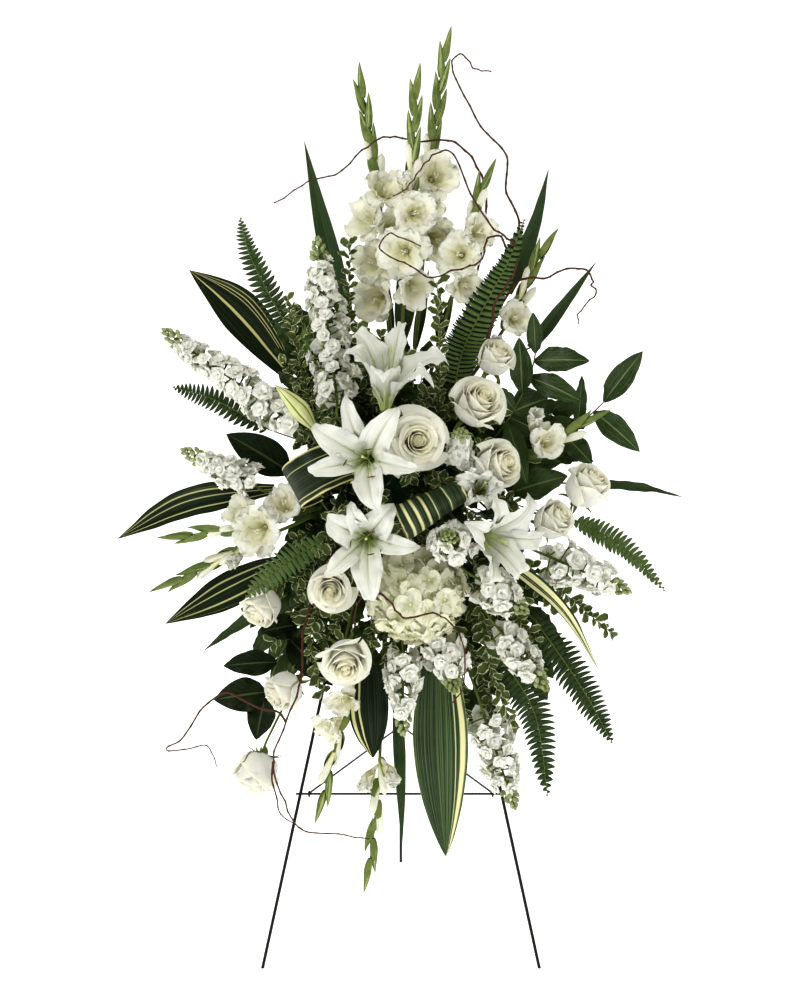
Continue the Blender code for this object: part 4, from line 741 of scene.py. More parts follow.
class Nodes:
    """A Principled material whose inputs are worked out from node sockets."""

    def __init__(self, name):
        self.material = bpy.data.materials.new(name)
        self.material.use_nodes = True
        self.tree = self.material.node_tree
        self.shader = self.tree.nodes["Principled BSDF"]

    def add(self, kind, **settings):
        made = self.tree.nodes.new("ShaderNode" + kind)
        for key, value in settings.items():
            setattr(made, key, value)
        return made

    def put(self, target, value):
        """Links a socket to an input, or sets the input to a number or colour."""
        if isinstance(value, bpy.types.NodeSocket):
            self.tree.links.new(value, target)
        elif isinstance(value, tuple) and target.type == "RGBA":
            target.default_value = (*value, 1)
        else:
            target.default_value = value

    def math(self, operation, a, b=0.0, c=0.0):
        made = self.add("Math", operation=operation)
        for target, value in zip(made.inputs, (a, b, c)):
            self.put(target, value)
        return made.outputs[0]

    def times(self, a, b):
        return self.math("MULTIPLY", a, b)

    def times_plus(self, a, b, c):
        return self.math("MULTIPLY_ADD", a, b, c)

    def vector(self, x, y, z):
        made = self.add("CombineXYZ")
        for target, value in zip(made.inputs, (x, y, z)):
            self.put(target, value)
        return made.outputs[0]

    def look(self):
        """The sockets along, across and chance."""
        made = self.add("SeparateXYZ")
        self.put(made.inputs[0], self.add("Attribute", attribute_name="look").outputs["Vector"])
        return made.outputs

    def under(self):
        return self.add("Attribute", attribute_name="under").outputs["Fac"]

    def place(self):
        return self.add("TexCoord").outputs["Object"]

    def noise(self, vector, scale, detail=2.0, roughness=0.5):
        made = self.add("TexNoise")
        self.put(made.inputs["Vector"], vector)
        self.put(made.inputs["Scale"], scale)
        self.put(made.inputs["Detail"], detail)
        self.put(made.inputs["Roughness"], roughness)
        return made.outputs["Fac"]

    def streaks(self, looks, scales, detail=3.0, roughness=0.5):
        """Noise drawn out along a part. scales are its steps across, along and from part to part."""
        along, across, chance = looks
        steps = [self.times(look, scale) for look, scale in zip((across, along, chance), scales)]
        return self.noise(self.vector(*steps), 1.0, detail, roughness)

    def ramp(self, value, *stops):
        """A smooth ramp through (place, colour or grey) stops."""
        made = self.add("ValToRGB")
        self.put(made.inputs[0], value)
        points = made.color_ramp.elements
        while len(points) < len(stops):
            points.new(1.0)
        for point, (place, colour) in zip(points, stops):
            point.position = place
            shade = colour if isinstance(colour, tuple) else (colour, colour, colour)
            point.color = (*shade, 1)
        return made.outputs[0]

    def mix(self, share, a, b):
        made = self.add("Mix", data_type="RGBA")
        self.put(made.inputs["Factor"], share)
        self.put(made.inputs[6], a)
        self.put(made.inputs[7], b)
        return made.outputs[2]

    def bump(self, height, strength, distance):
        made = self.add("Bump")
        self.put(made.inputs["Height"], height)
        self.put(made.inputs["Strength"], strength)
        self.put(made.inputs["Distance"], distance)
        self.put(self.shader.inputs["Normal"], made.outputs[0])

    def done(self, colour, roughness, others=None):
        inputs = {"Base Color": colour, "Roughness": roughness, **(others or {})}
        for name, value in inputs.items():
            self.put(self.shader.inputs[name], value)
        return self.material


def petal_paint(
    name, body, foot, foot_reach, rib, rib_width, heart=None, vein=0.5, dark=0.80, soft=0.008, relief=0.6,
):
    """White petals: tinted towards the foot and along the rib, with fine veins."""
    n = Nodes(name)
    along, across, chance = looks = n.look()
    veins = n.streaks(looks, (24.0, 2.0, 40.0))
    patches = n.noise(n.place(), 45.0)
    near_foot = n.ramp(along, (0.0, 1.0), (foot_reach, 0.0))
    near_rib = n.times(
        n.ramp(n.math("ABSOLUTE", across), (0.0, 1.0), (rib_width, 0.0)),
        n.ramp(along, (0.15, 1.0), (0.75, 0.0)),
    )
    shade = (body[0] * dark, body[1] * dark * 1.01, body[2] * dark * 0.97)
    colour = n.mix(n.times(n.ramp(veins, (0.4, 0.0), (0.75, 1.0)), vein), body, shade)
    colour = n.mix(n.times(patches, 0.25), colour, shade)
    if heart is not None:
        colour = n.mix(n.ramp(chance, (0.0, 0.85), (0.55, 0.0)), colour, heart)
    colour = n.mix(n.times(near_rib, 0.7), colour, rib)
    colour = n.mix(n.times(near_foot, 0.9), colour, foot)
    n.bump(veins, relief, 0.0008)
    return n.done(
        colour, n.times_plus(patches, 0.15, 0.5),
        {
            "Subsurface Weight": 0.5,
            "Subsurface Radius": (1, 1, 0.7),
            "Subsurface Scale": soft,
            "Specular IOR Level": 0.2,
        },
    )


def leaf_paint(
    name, dark, light, rib, rib_width=0.06, rib_share=0.6, under=None, margin=None, margin_from=0.8,
    margin_wander=0.16, one_side=False, stripes=None, stripe_count=0.0, stripe_from=0.60, bands=(),
    side_veins=0.0, lines=14.0, blotch=0.8, vary=0.0, gloss=0.38, bump=0.5, shine=0.22,
):
    """Green leaves: mottled, with a rib and fine lines, and margins, stripes or side veins."""
    n = Nodes(name)
    along, across, chance = looks = n.look()
    away = n.math("ABSOLUTE", across)
    fine = n.streaks(looks, (lines, 0.6, 60.0))
    patches = n.noise(n.place(), 60.0, 3.0)
    mottled = n.times(n.ramp(patches, (0.35, 0.0), (0.7, 1.0)), blotch)
    colour = n.mix(mottled, dark, light)
    colour = n.mix(n.times(n.ramp(chance, (0.45, 0.0), (0.95, 1.0)), vary), colour, light)
    lined = n.times(n.ramp(fine, (0.45, 0.0), (0.66, 1.0)), 1.1 - 0.7 * blotch)
    colour = n.mix(lined, colour, light)
    if stripe_count:
        lanes = n.streaks(looks, (stripe_count, 0.35, 90.0), 2.0, 0.6)
        edges = ((stripe_from, 0.0), (stripe_from + 0.04, 1.0))
        colour = n.mix(n.ramp(lanes, *edges), colour, stripes)
    for middle, width in bands:
        sway = n.noise(n.vector(n.times(along, 2.5), middle * 9, chance), 1.0)
        off = n.times_plus(sway, 0.14, -middle - 0.07)
        off = n.math("ABSOLUTE", n.math("ADD", across, off))
        edges = ((max(width - 0.025, 0.0), 1.0), (width + 0.01, 0.0))
        colour = n.mix(n.ramp(off, *edges), colour, stripes)
    if margin is not None:
        place = n.vector(n.times(along, 5.0), n.math("SIGN", across), n.times(chance, 30.0))
        wander = n.noise(place, 1.0)
        edge = n.times(across, -1.0) if one_side else away
        edge = n.math("ADD", edge, n.times_plus(wander, margin_wander, -margin_wander / 2))
        colour = n.mix(n.ramp(edge, (margin_from, 0.0), (margin_from + 0.05, 1.0)), colour, margin)
    rib_line = n.ramp(away, (0.0, 1.0), (rib_width, 0.0))
    colour = n.mix(n.times(rib_line, rib_share), colour, rib)
    height = n.times_plus(rib_line, -1.5, fine)
    if side_veins:
        slant = n.times_plus(away, -0.35, along)
        wave = n.math("SINE", n.times(slant, side_veins))
        vein = n.ramp(wave, (0.86, 0.0), (1.0, 1.0))
        colour = n.mix(n.times(vein, 0.10), colour, rib)
        height = n.times_plus(vein, -0.5, height)
    if under is not None:
        colour = n.mix(n.under(), colour, under)
    n.bump(height, bump, 0.0006)
    rough = n.times_plus(patches, 0.2, gloss)
    return n.done(colour, rough, {"Specular IOR Level": shine})


def plain_paint(name, low, high, scale, roughness, bump, distance):
    """A mottled surface that reads the part's place."""
    n = Nodes(name)
    grain = n.noise(n.place(), scale, 4.0, 0.6)
    n.bump(grain, bump, distance)
    return n.done(
        n.mix(grain, low, high), n.times_plus(grain, 0.2, roughness), {"Specular IOR Level": 0.22},
    )


ROSE_PETAL = petal_paint(
    "rose_petal", (0.96, 0.95, 0.83), (0.66, 0.72, 0.38), 0.28, (0.92, 0.92, 0.76), 0.2,
    heart=(0.95, 0.91, 0.68), vein=0.25, dark=0.9, relief=0.3,
)
LILY_PETAL = petal_paint(
    "lily_petal", (0.76, 0.765, 0.72), (0.46, 0.56, 0.12), 0.30, (0.36, 0.41, 0.15), 0.12, vein=1.0,
    dark=0.72, soft=0.003,
)
GLAD_PETAL = petal_paint(
    "gladiolus_petal", (0.83, 0.83, 0.73), (0.78, 0.74, 0.34), 0.58, (0.76, 0.74, 0.46), 0.14, vein=1.0,
    dark=0.80, soft=0.003,
)
STOCK_PETAL = petal_paint(
    "stock_petal", (0.93, 0.93, 0.84), (0.56, 0.62, 0.26), 0.34, (0.93, 0.93, 0.84), 0.1, dark=0.92,
    relief=0.12, soft=0.004,
)
HYDRANGEA_PETAL = petal_paint(
    "hydrangea_petal", (0.93, 0.92, 0.68), (0.62, 0.66, 0.28), 0.34, (0.76, 0.77, 0.44), 0.12, vein=0.9,
    soft=0.005, relief=0.4,
)
BUD_SKIN = leaf_paint(
    "lily_bud_skin", (0.50, 0.53, 0.22), (0.72, 0.71, 0.42), (0.66, 0.67, 0.40),
    stripes=(0.16, 0.25, 0.04), bands=((0.5, 0.10), (-0.5, 0.10)), margin=(0.18, 0.27, 0.05),
    margin_from=0.95, gloss=0.5,
)
GREEN_BUD = leaf_paint(
    "green_bud", (0.10, 0.19, 0.035), (0.20, 0.30, 0.07), (0.42, 0.5, 0.18), rib_share=0.5, gloss=0.5,
)
STOCK_BUD = leaf_paint(
    "stock_bud", (0.15, 0.20, 0.06), (0.48, 0.51, 0.30), (0.12, 0.18, 0.05), rib_share=0.4, gloss=0.55,
)
SPATHE = leaf_paint(
    "gladiolus_spathe", (0.070, 0.115, 0.024), (0.215, 0.260, 0.080), (0.300, 0.340, 0.120),
    margin=(0.34, 0.39, 0.16), margin_from=0.90, gloss=0.5,
)
STEM_GREEN = leaf_paint(
    "stem_green", (0.070, 0.107, 0.019), (0.141, 0.175, 0.038), (0.128, 0.155, 0.038), rib_share=0.1,
    gloss=0.5,
)
PALE_GREEN = leaf_paint(
    "pale_green", (0.42, 0.52, 0.15), (0.56, 0.64, 0.28), (0.45, 0.55, 0.2), rib_share=0.1, gloss=0.5,
)
ANTHER = plain_paint("anther", (0.05, 0.035, 0.015), (0.16, 0.10, 0.035), 900.0, 0.8, 0.8, 0.0006)
FERN_LEAF = leaf_paint(
    "fern_leaf", (0.014, 0.032, 0.009), (0.048, 0.084, 0.024), (0.10, 0.15, 0.05), rib_width=0.12,
    side_veins=60.0, under=(0.04, 0.07, 0.025), gloss=0.5,
)
# Painted shade: a darker copy of the fern paint, for the second row of leaflets that lies just behind the
# front row
SHADED_FERN_LEAF = leaf_paint(
    "shaded_fern_leaf", (0.008, 0.018, 0.006), (0.022, 0.042, 0.014), (0.04, 0.06, 0.02), gloss=0.55,
)
LIGHT_FERN_LEAF = leaf_paint(
    "light_fern_leaf", (0.060, 0.108, 0.030), (0.135, 0.200, 0.068), (0.17, 0.24, 0.09), rib_width=0.12,
    side_veins=60.0, under=(0.08, 0.13, 0.05), gloss=0.5,
)
STRIPED_LEAF = leaf_paint(
    "striped_leaf", (0.004, 0.009, 0.003), (0.018, 0.034, 0.010), (0.02, 0.04, 0.02), lines=26.0,
    blotch=0.2, stripes=(0.60, 0.56, 0.27), stripe_count=18.0, stripe_from=0.68,
    bands=((-0.16, 0.075), (0.46, 0.018), (0.60, 0.026), (0.78, 0.018)), gloss=0.32, shine=0.12,
)
STREAKED_LEAF = leaf_paint(
    "streaked_leaf", (0.004, 0.010, 0.003), (0.022, 0.040, 0.011), (0.02, 0.04, 0.02), lines=24.0,
    blotch=0.2, stripes=(0.56, 0.55, 0.28), stripe_count=14.0, stripe_from=0.66,
    bands=((0.24, 0.035), (0.62, 0.045), (-0.42, 0.06)), gloss=0.34, shine=0.12,
)
LOOP_LEAF = leaf_paint(
    "loop_leaf", (0.004, 0.011, 0.004), (0.030, 0.050, 0.018), (0.03, 0.05, 0.02), lines=34.0, blotch=0.2,
    margin=(0.62, 0.58, 0.28), margin_from=0.90, stripes=(0.50, 0.48, 0.22),
    bands=((-0.5, 0.02), (0.72, 0.03)), gloss=0.28,
)
ROLLED_LEAF = leaf_paint(
    "rolled_leaf", (0.008, 0.018, 0.006), (0.070, 0.110, 0.045), (0.03, 0.05, 0.02), lines=30.0,
    blotch=0.1, margin=(0.66, 0.62, 0.32), margin_from=0.94, stripes=(0.72, 0.70, 0.40),
    bands=((-0.74, 0.05), (-0.48, 0.05), (-0.20, 0.045), (0.06, 0.02), (0.5, 0.015)), gloss=0.28,
)
GREEN_STRIPED_LEAF = leaf_paint(
    "green_striped_leaf", (0.009, 0.024, 0.006), (0.100, 0.155, 0.056), (0.05, 0.09, 0.03), lines=30.0,
    blotch=0.1, margin=(0.30, 0.36, 0.16), margin_from=0.97, stripes=(0.72, 0.69, 0.38),
    bands=((-0.80, 0.10), (-0.55, 0.018)), gloss=0.34,
)
DARK_STRIPED_LEAF = leaf_paint(
    "dark_striped_leaf", (0.003, 0.008, 0.002), (0.026, 0.044, 0.014), (0.02, 0.04, 0.02), lines=26.0,
    blotch=0.1, stripes=(0.66, 0.63, 0.33), bands=((0.80, 0.09), (0.46, 0.055)), gloss=0.34, shine=0.12,
)
CREAM_STRIPED_LEAF = leaf_paint(
    "cream_striped_leaf", (0.008, 0.022, 0.007), (0.030, 0.055, 0.016), (0.03, 0.06, 0.02),
    stripes=(0.74, 0.72, 0.42), bands=((0.62, 0.26), (-0.42, 0.30), (0.12, 0.03)), gloss=0.36,
)
FLAX_LEAF = leaf_paint(
    "flax_leaf", (0.018, 0.040, 0.011), (0.052, 0.092, 0.030), (0.06, 0.10, 0.03), lines=22.0, blotch=0.3,
    gloss=0.42,
)
SALAL_LEAF = leaf_paint(
    "salal_leaf", (0.010, 0.028, 0.006), (0.052, 0.092, 0.022), (0.26, 0.32, 0.13), rib_width=0.09,
    rib_share=0.7, side_veins=48.0, under=(0.07, 0.11, 0.04), blotch=0.35, vary=0.6, gloss=0.28, bump=0.6,
    shine=0.25,
)
# Painted shade: a darker copy of the salal paint, for the low left salal, which lies in shade
SHADED_SALAL_LEAF = leaf_paint(
    "shaded_salal_leaf", (0.003, 0.009, 0.002), (0.013, 0.025, 0.006), (0.12, 0.15, 0.06), rib_width=0.10,
    side_veins=48.0, under=(0.03, 0.045, 0.015), gloss=0.34, bump=0.6, shine=0.14,
)
SMALL_LEAF = leaf_paint(
    "variegated_leaf", (0.030, 0.056, 0.013), (0.110, 0.138, 0.040), (0.154, 0.175, 0.057),
    margin=(0.54, 0.57, 0.33), margin_from=0.76, margin_wander=0.8, vary=0.4, gloss=0.42,
)
DARK_LEAF = leaf_paint(
    "dark_small_leaf", (0.020, 0.042, 0.011), (0.066, 0.104, 0.030), (0.110, 0.150, 0.050),
    side_veins=40.0, under=(0.051, 0.078, 0.024), gloss=0.4,
)
BARK = plain_paint("willow_bark", (0.030, 0.012, 0.006), (0.12, 0.042, 0.022), 260.0, 0.6, 0.7, 0.0008)
WIRE = plain_paint("wire_paint", (0.003, 0.004, 0.004), (0.010, 0.012, 0.011), 320.0, 0.4, 0.25, 0.0004)
TRAY = plain_paint("tray_plastic", (0.008, 0.03, 0.012), (0.014, 0.045, 0.018), 420.0, 0.45, 0.3, 0.0004)
FOAM = plain_paint("wet_foam", (0.010, 0.035, 0.013), (0.025, 0.07, 0.025), 700.0, 0.9, 0.9, 0.0012)
TIE = plain_paint("tie_paint", (0.006, 0.02, 0.008), (0.014, 0.04, 0.016), 500.0, 0.4, 0.3, 0.0003)

# Roses
ROSE_STEM = 0.0024
ROSE_OPENING = {"rose_centre_high": 0.95, "rose_pair_upper_right": 0.40, "rose_pair_centre_left": 0.60}
ROSE_CLOSED = 0.1
ROSE_PETALS = 17
# How the petals of a rose of half size 1 change from its heart out, closed and open: the waist,
# reach, rim height, lip, and half angle in degrees
ROSE_SHARES = (0.0, 0.35, 0.7, 1.0)
ROSE_SHAPES = [
    ((0.25, 0.44, 0.64, 0.80), (0.24, 0.33, 0.45, 0.58)),
    ((0.24, 0.42, 0.62, 0.86), (0.27, 0.50, 0.80, 1.06)),
    ((0.80, 0.77, 0.67, 0.47), (0.76, 0.66, 0.43, 0.16)),
    ((0.02, 0.05, 0.10, 0.20), (0.03, 0.08, 0.13, 0.17)), ((105, 90, 74, 64), (105, 86, 68, 56)),
]


def rose_petal(share, opening, draw):
    """A petal of a rose round Z. share is how far out it stands, from 0 to 1."""
    shapes = [[np.interp(share, ROSE_SHARES, values) for values in pair] for pair in ROSE_SHAPES]
    waist, reach, rim, lip, span = (
        closed * (1 - opening) + opened * opening for closed, opened in shapes
    )
    u = np.linspace(0, 1, 13)[:, None]
    w = np.linspace(-1, 1, 13)[None, :]
    phase = draw.uniform(0, 6)
    peak = draw.uniform(-0.25, 0.25)
    rim = rim + draw.uniform(-0.03, 0.03)
    point = (0.03 + 0.07 * share) * np.clip(1 - abs(w - peak), 0, 1) ** 2
    top = rim + point + 0.012 * np.sin(5 * w + phase) - (0.16 + 0.24 * share) * abs(w) ** 3
    profile = bezier(
        np.array([0.05, -0.80]), np.array([waist * 1.30, -0.72]),
        np.array([waist * 0.96, 0.15 + 0.35 * opening]), np.array([reach, 1.0]), u[:, 0],
    )
    radius = profile[:, :1] + 0 * w
    height = profile[:, 1:]
    high = -0.80 + (height + 0.80) / 1.80 * (top + 0.80)
    rolled = np.clip((u - 0.78) / 0.22, 0, 1) ** 1.5
    curl = lip * (0.40 + 0.85 * abs(w - peak) ** 1.2 + 0.20 * np.sin(3.4 * w + phase))
    radius = radius + curl * rolled + 0.05 * w * u
    high = high - 0.75 * curl * rolled**1.6
    radius = radius + 0.014 * np.sin(5 * w + 4 * u + phase) * u**2
    around = math.radians(span) * w * (0.35 + 0.65 * np.sin(np.clip(u * 1.8, 0, 1) * math.pi / 2))
    points = np.stack([radius * np.cos(around), radius * np.sin(around), high], axis=2)
    return sheet(points, 0.013, share)


def rose_heart(draw):
    """The wound petal at the middle of a rose, and the closed bud that it is wound on."""
    u = np.linspace(0, 1, 7)[:, None]
    w = np.linspace(0, 1, 46)[None, :]
    angle = w * 2 * math.pi * 2.2 + draw.uniform(0, 6)
    radius = (0.02 + 0.20 * w) * (0.75 + 0.25 * u) + 0.010 * np.sin(2.5 * angle)
    rim = 0.78 - 0.05 * w + 0.02 * np.sin(1.5 * angle)
    high = 0.30 + u * (rim - 0.30)
    points = np.stack([radius * np.cos(angle), radius * np.sin(angle), high], axis=2)
    bud = np.outer((-0.4, 0.35, 0.56, 0.64), UP)
    return joined([sheet(points, 0.012, 0.0), tube(bud, [0.18, 0.21, 0.15, 0.03], 16, 0.0)])


def rose_head(bloom, opening, draw):
    """The wound heart, and the petals that follow each other round it."""
    frame_of = frame_along(facing(bloom.azimuth, bloom.elevation))
    spin = draw.uniform(0, 6)
    parts = [moved(rose_heart(draw), at(bloom), frame_of @ turned(spin), bloom.size / 2)]
    for k in range(ROSE_PETALS):
        petal = rose_petal(k / (ROSE_PETALS - 1), opening, draw)
        angle = spin + k * GOLDEN_ANGLE + draw.uniform(-0.15, 0.15)
        parts.append(moved(petal, at(bloom), frame_of @ turned(angle), bloom.size / 2))
    return parts


def sepals(base, axis, size, draw):
    """Five green sepals and the hip under a rose."""
    frame_of = frame_along(axis)
    hip = [base - axis * 0.012, base - axis * 0.006, base, base + axis * 0.006]
    parts = [tube(hip, [0.003, 0.0065, 0.0075, 0.006], 10, 0.4)]
    for k in range(5):
        side = frame_of @ turned(k * 2 * math.pi / 5) @ RIGHT
        foot = base + side * 0.006
        tip = base + side * size * 0.42 - axis * size * draw.uniform(0.0, 0.22)
        shares = eased(7)
        spine = bezier(foot, foot + side * 0.012, tip + axis * 0.01, tip, shares)
        halves = outline(shares, 0.7, 0.25, 1.2, 1.0) * 0.0045
        parts.append(blade(spine, halves, face=axis, columns=5, cup=0.3, chance=draw.random()))
    return parts


def make_roses():
    draw = random.Random(11)
    for name, blooms in ROSES.items():
        petals = []
        greens = []
        looks = [facing(bloom.azimuth, bloom.elevation) for bloom in blooms]
        bases = []
        for bloom, look in zip(blooms, looks):
            petals += rose_head(bloom, ROSE_OPENING.get(name, ROSE_CLOSED), draw)
            base = at(bloom) - look * (bloom.size * 0.39)
            greens += sepals(base, look, bloom.size, draw)
            bases.append(base - look * 0.010)
        greens += branches(name, bases, ROSE_STEM, looks)
        build(name + "_petals", petals, [ROSE_PETAL], [name])
        build(name + "_stem", greens, [STEM_GREEN], [name])


# Lilies
LILY_STEM = 0.0032
LILY_SIZE = 0.19
LILY_TEPALS = ((0.0175, 0.0075), (0.0255, 0.0045))
LILY_FUNNEL = 0.030
TEPAL_RISE = 0.070
TEPAL_FLARE = 0.010
TEPAL_BEND = 0.058
TEPAL_BACK = 0.22
FILAMENT = 0.046
FILAMENT_UPRIGHT = 0.036
PISTIL_BEYOND = 0.012
WITH_ANTHERS = {(367, 459), (367, 537), (478, 492)}


def tepal(throat, axis, tip, half_width, ring, draw):
    """A lily's petal: out of the throat's funnel, then bent back to its tip."""
    reach = tip - throat
    side = unit(reach - axis * (reach @ axis))
    foot = throat - axis * LILY_FUNNEL + side * ring
    knee = foot + axis * TEPAL_RISE + side * TEPAL_FLARE
    before = tip + axis * TEPAL_BEND - reach * TEPAL_BACK
    shares = np.linspace(0, 1, 28)
    spine = bezier(foot, knee, before, tip, shares)
    halves = half_width * (0.96 * outline(shares, 0.24, 0.50, 1.5, 1.0) + 0.04 * (1 - shares))
    return own_blade(
        draw, (-0.45, 0.45), spine, halves, across=-np.cross(axis, side), columns=15, cup=0.10, fold=0.24,
        groove=0.11, wave=0.0062, waves=draw.uniform(2.0, 3.0), thickness=0.0011,
    )


def stamens(throat, axis, size, with_anthers, draw):
    """Six filaments round a longer pistil. Anthers lie across their ends."""
    frame_of = frame_along(axis)
    foot = throat - axis * 0.028
    reach = FILAMENT + FILAMENT_UPRIGHT * max(0.0, axis[2])
    parts = []
    for k in range(6):
        side = frame_of @ turned(k * math.pi / 3 + draw.uniform(-0.2, 0.2)) @ RIGHT
        end = throat + (axis * reach + side * draw.uniform(0.016, 0.026)) * size - UP * 0.006
        path = bezier(foot, foot + axis * 0.04, end - axis * 0.012, end, np.linspace(0, 1, 9))
        parts.append(tube(path, np.linspace(0.0011, 0.0007, 9), 6, draw.random(), 1))
        if with_anthers and k % 2:
            lying = unit(np.cross(side, axis) + side * draw.uniform(-0.8, 0.8)) * 0.006
            bow = [end - lying, end - lying * 0.5 + axis * 0.0014, end + axis * 0.002]
            bow += [end + lying * 0.5 + axis * 0.0014, end + lying]
            thick = 0.0012 * np.sin(np.linspace(0.3, math.pi - 0.3, 7)) ** 0.5
            parts.append(tube(smooth_path(bow, 7), thick, 6, 0.3, 2))
    tip = throat + axis * (reach + PISTIL_BEYOND) * size + frame_of @ np.array([0.004, 0.006, 0])
    path = bezier(foot, foot + axis * 0.04, tip - axis * 0.015, tip, np.linspace(0, 1, 10))
    radii = [0.0034, 0.0032, 0.0022, 0.0015, 0.0013, 0.0013, 0.0013, 0.0013, 0.0024, 0.0021]
    parts.append(tube(path, radii, 9, 0.6, 1, ribs=3, depth=0.15))
    return parts


def lily_bud(foot, tip, radius, chance, paint):
    """A closed ribbed bud."""
    shares = np.linspace(0, 1, 16)
    path = foot + (tip - foot) * shares[:, None]
    sag = np.cross(unit(tip - foot), TO_EYE) * (0.03 * np.linalg.norm(tip - foot))
    path = path + sag * (4 * shares * (1 - shares))[:, None]
    radii = radius * (0.22 + 0.78 * np.sin(np.clip(shares / 0.5, 0, 1) * math.pi / 2))
    radii = radii * (1 - 0.96 * np.clip((shares - 0.4) / 0.6, 0, 1) ** 1.5)
    return tube(path, radii, 30, chance, paint, ribs=6, depth=0.06)


def make_lilies():
    draw = random.Random(23)
    for name, (blooms, buds) in LILIES.items():
        petals = []
        looks = []
        bases = []
        for bloom, tips in blooms:
            axis = facing(bloom.azimuth, bloom.elevation)
            throat = at(bloom)
            size = bloom.size / LILY_SIZE
            for k, tip in enumerate(tips):
                half_width, ring = LILY_TEPALS[k % 2]
                petals.append(tepal(throat, axis, at(tip), half_width * size, ring, draw))
            with_anthers = (bloom.column, bloom.row) in WITH_ANTHERS
            petals += stamens(throat, axis, size, with_anthers, draw)
            looks.append(axis)
            bases.append(throat - axis * (LILY_FUNNEL + 0.004))
        green = []
        for foot, tip, radius in buds:
            paint = 0 if radius > 0.015 else 1
            green.append(lily_bud(at(foot), at(tip), radius, draw.random(), paint))
            looks.append(unit(at(tip) - at(foot)))
            bases.append(at(foot))
        green += painted(branches(name, bases, LILY_STEM, looks), 2)
        build(name + "_petals", petals, [LILY_PETAL, PALE_GREEN, ANTHER], [name])
        build(name + "_stem", green, [BUD_SKIN, GREEN_BUD, STEM_GREEN], [name])


# Gladioli
GLADIOLUS_STEM = 0.0036
BUD_SPACING = 0.0255
HANGING_BUD_SPACING = 0.034
BUD_LENGTH = 0.058
HALF_OPEN = 0.058
THROAT_DEPTH = 0.95
GLAD_RUFFLE = 0.13
WHITE_TIPS = 3
SIDEWAYS = 0.17
BUD_WIDTH = 0.0145


def glad_petal(apex, mouth, axis, side, radius, inner, closed, draw):
    """One petal of a floret: from its tube out to a ruffled edge."""
    shares = eased(14)
    first = apex + (mouth - apex) * 0.50 + side * (0.20 * radius)
    if closed:
        reach, ahead, broad = 0.42, draw.uniform(0.6, 0.95), 0.40
    else:
        reach = draw.uniform(0.92, 1.08)
        ahead = draw.uniform(-0.05, 0.45) if inner else draw.uniform(-0.40, 0.05)
        broad = 0.53 if inner else 0.45
    before = mouth + side * (0.55 * radius * reach) + axis * (0.26 * radius)
    tip = mouth + side * (radius * reach) + axis * (ahead * radius)
    spine = bezier(apex + side * 0.002, first, before, tip, shares)
    halves = radius * broad * outline(shares, 0.30, 0.74, 2.2, 0.5)
    return own_blade(
        draw, (-0.35, 0.35), spine, halves, across=-np.cross(axis, side), columns=11, cup=0.42,
        groove=0.06, wave=GLAD_RUFFLE * radius, waves=2.8, frill=GLAD_RUFFLE * radius,
    )


def glad_floret(floret, path, draw):
    """An open floret: three broad petals within three others, whose tube starts on the stem."""
    axis = facing(floret.azimuth, floret.elevation)
    mouth = at(floret)
    radius = floret.size / 2
    root = nearest_on(path, mouth - axis * radius)
    deep = min(1.0, THROAT_DEPTH * radius / np.linalg.norm(root - mouth))
    apex = mouth + (root - mouth) * deep
    frame_of = frame_along(axis)
    spin = draw.uniform(0, 2)
    closed = floret.size < HALF_OPEN
    neck = unit(apex - root) * (0.25 * radius)
    parts = [tube([root, (root + apex) / 2, apex, apex + neck], [0.002, 0.0028, 0.0044, 0.003], 10)]
    for k in range(6):
        side = frame_of @ turned(spin + k * math.pi / 3) @ RIGHT
        parts.append(glad_petal(apex, mouth, axis, side, radius, k % 2, closed, draw))
    foot = mouth - axis * (0.35 * radius)
    for k in range(3):
        side = frame_of @ turned(spin + k * 2.1) @ RIGHT
        end = mouth + axis * (0.15 * radius) + side * 0.003
        parts.append(tube([apex, foot, end], [0.0012, 0.0008, 0.0013], 6, 0.5))
    return parts


def glad_bud(foot, way, length, width, white, draw):
    """A bud in its green sheath: the closed bud, and a bract wrapped round its lower part."""
    shares = np.linspace(0, 1, 10)
    bow = np.cross(way, TO_EYE) * (length * draw.uniform(-0.03, 0.03))
    path = foot + way * (length * shares)[:, None] + bow * (4 * shares * (1 - shares))[:, None]
    swell = np.sin(np.clip(shares / 0.45, 0, 1) * math.pi / 2) ** 0.6
    radii = width / 2 * (0.30 + 0.55 * swell) * (1 - shares**2.2) ** 0.9 + 0.0003
    if white:
        radii = width / 2 * (0.35 + 0.75 * shares) * (1 - shares**5) ** 0.6 + 0.0004
    parts = [tube(path, radii, 12, draw.random(), 1 if white else 0, ribs=3, depth=0.12)]
    around = np.linspace(-1, 1, 13)
    frame_of = frame_along(way) @ turned(draw.uniform(0, 6))
    cover = 0.60 if white else 0.92
    rows = []
    for share in np.linspace(0, 1, 11):
        radius = width / 2 * (0.55 + 0.5 * math.sin(min(1, share / 0.40) * math.pi / 2))
        radius *= (1 - share**1.8) ** 0.8 if not white else (1 - share**4) ** 0.5
        span = 2.3 * (1 - 0.35 * share)
        keel = 1 + 0.18 * np.exp(-(around**2) / 0.03)
        ring = np.stack([np.cos(around * span) * keel, np.sin(around * span), 0 * around], axis=1)
        rows.append(foot + way * (length * cover * share - 0.002) + (ring * radius) @ frame_of.T)
    parts.append(sheet(np.array(rows), 0.0006, draw.random(), 0))
    return parts


def its_path(paths, point):
    """The path that a point is nearest to."""
    return min(paths, key=lambda path: np.linalg.norm(nearest_on(path, point) - point))


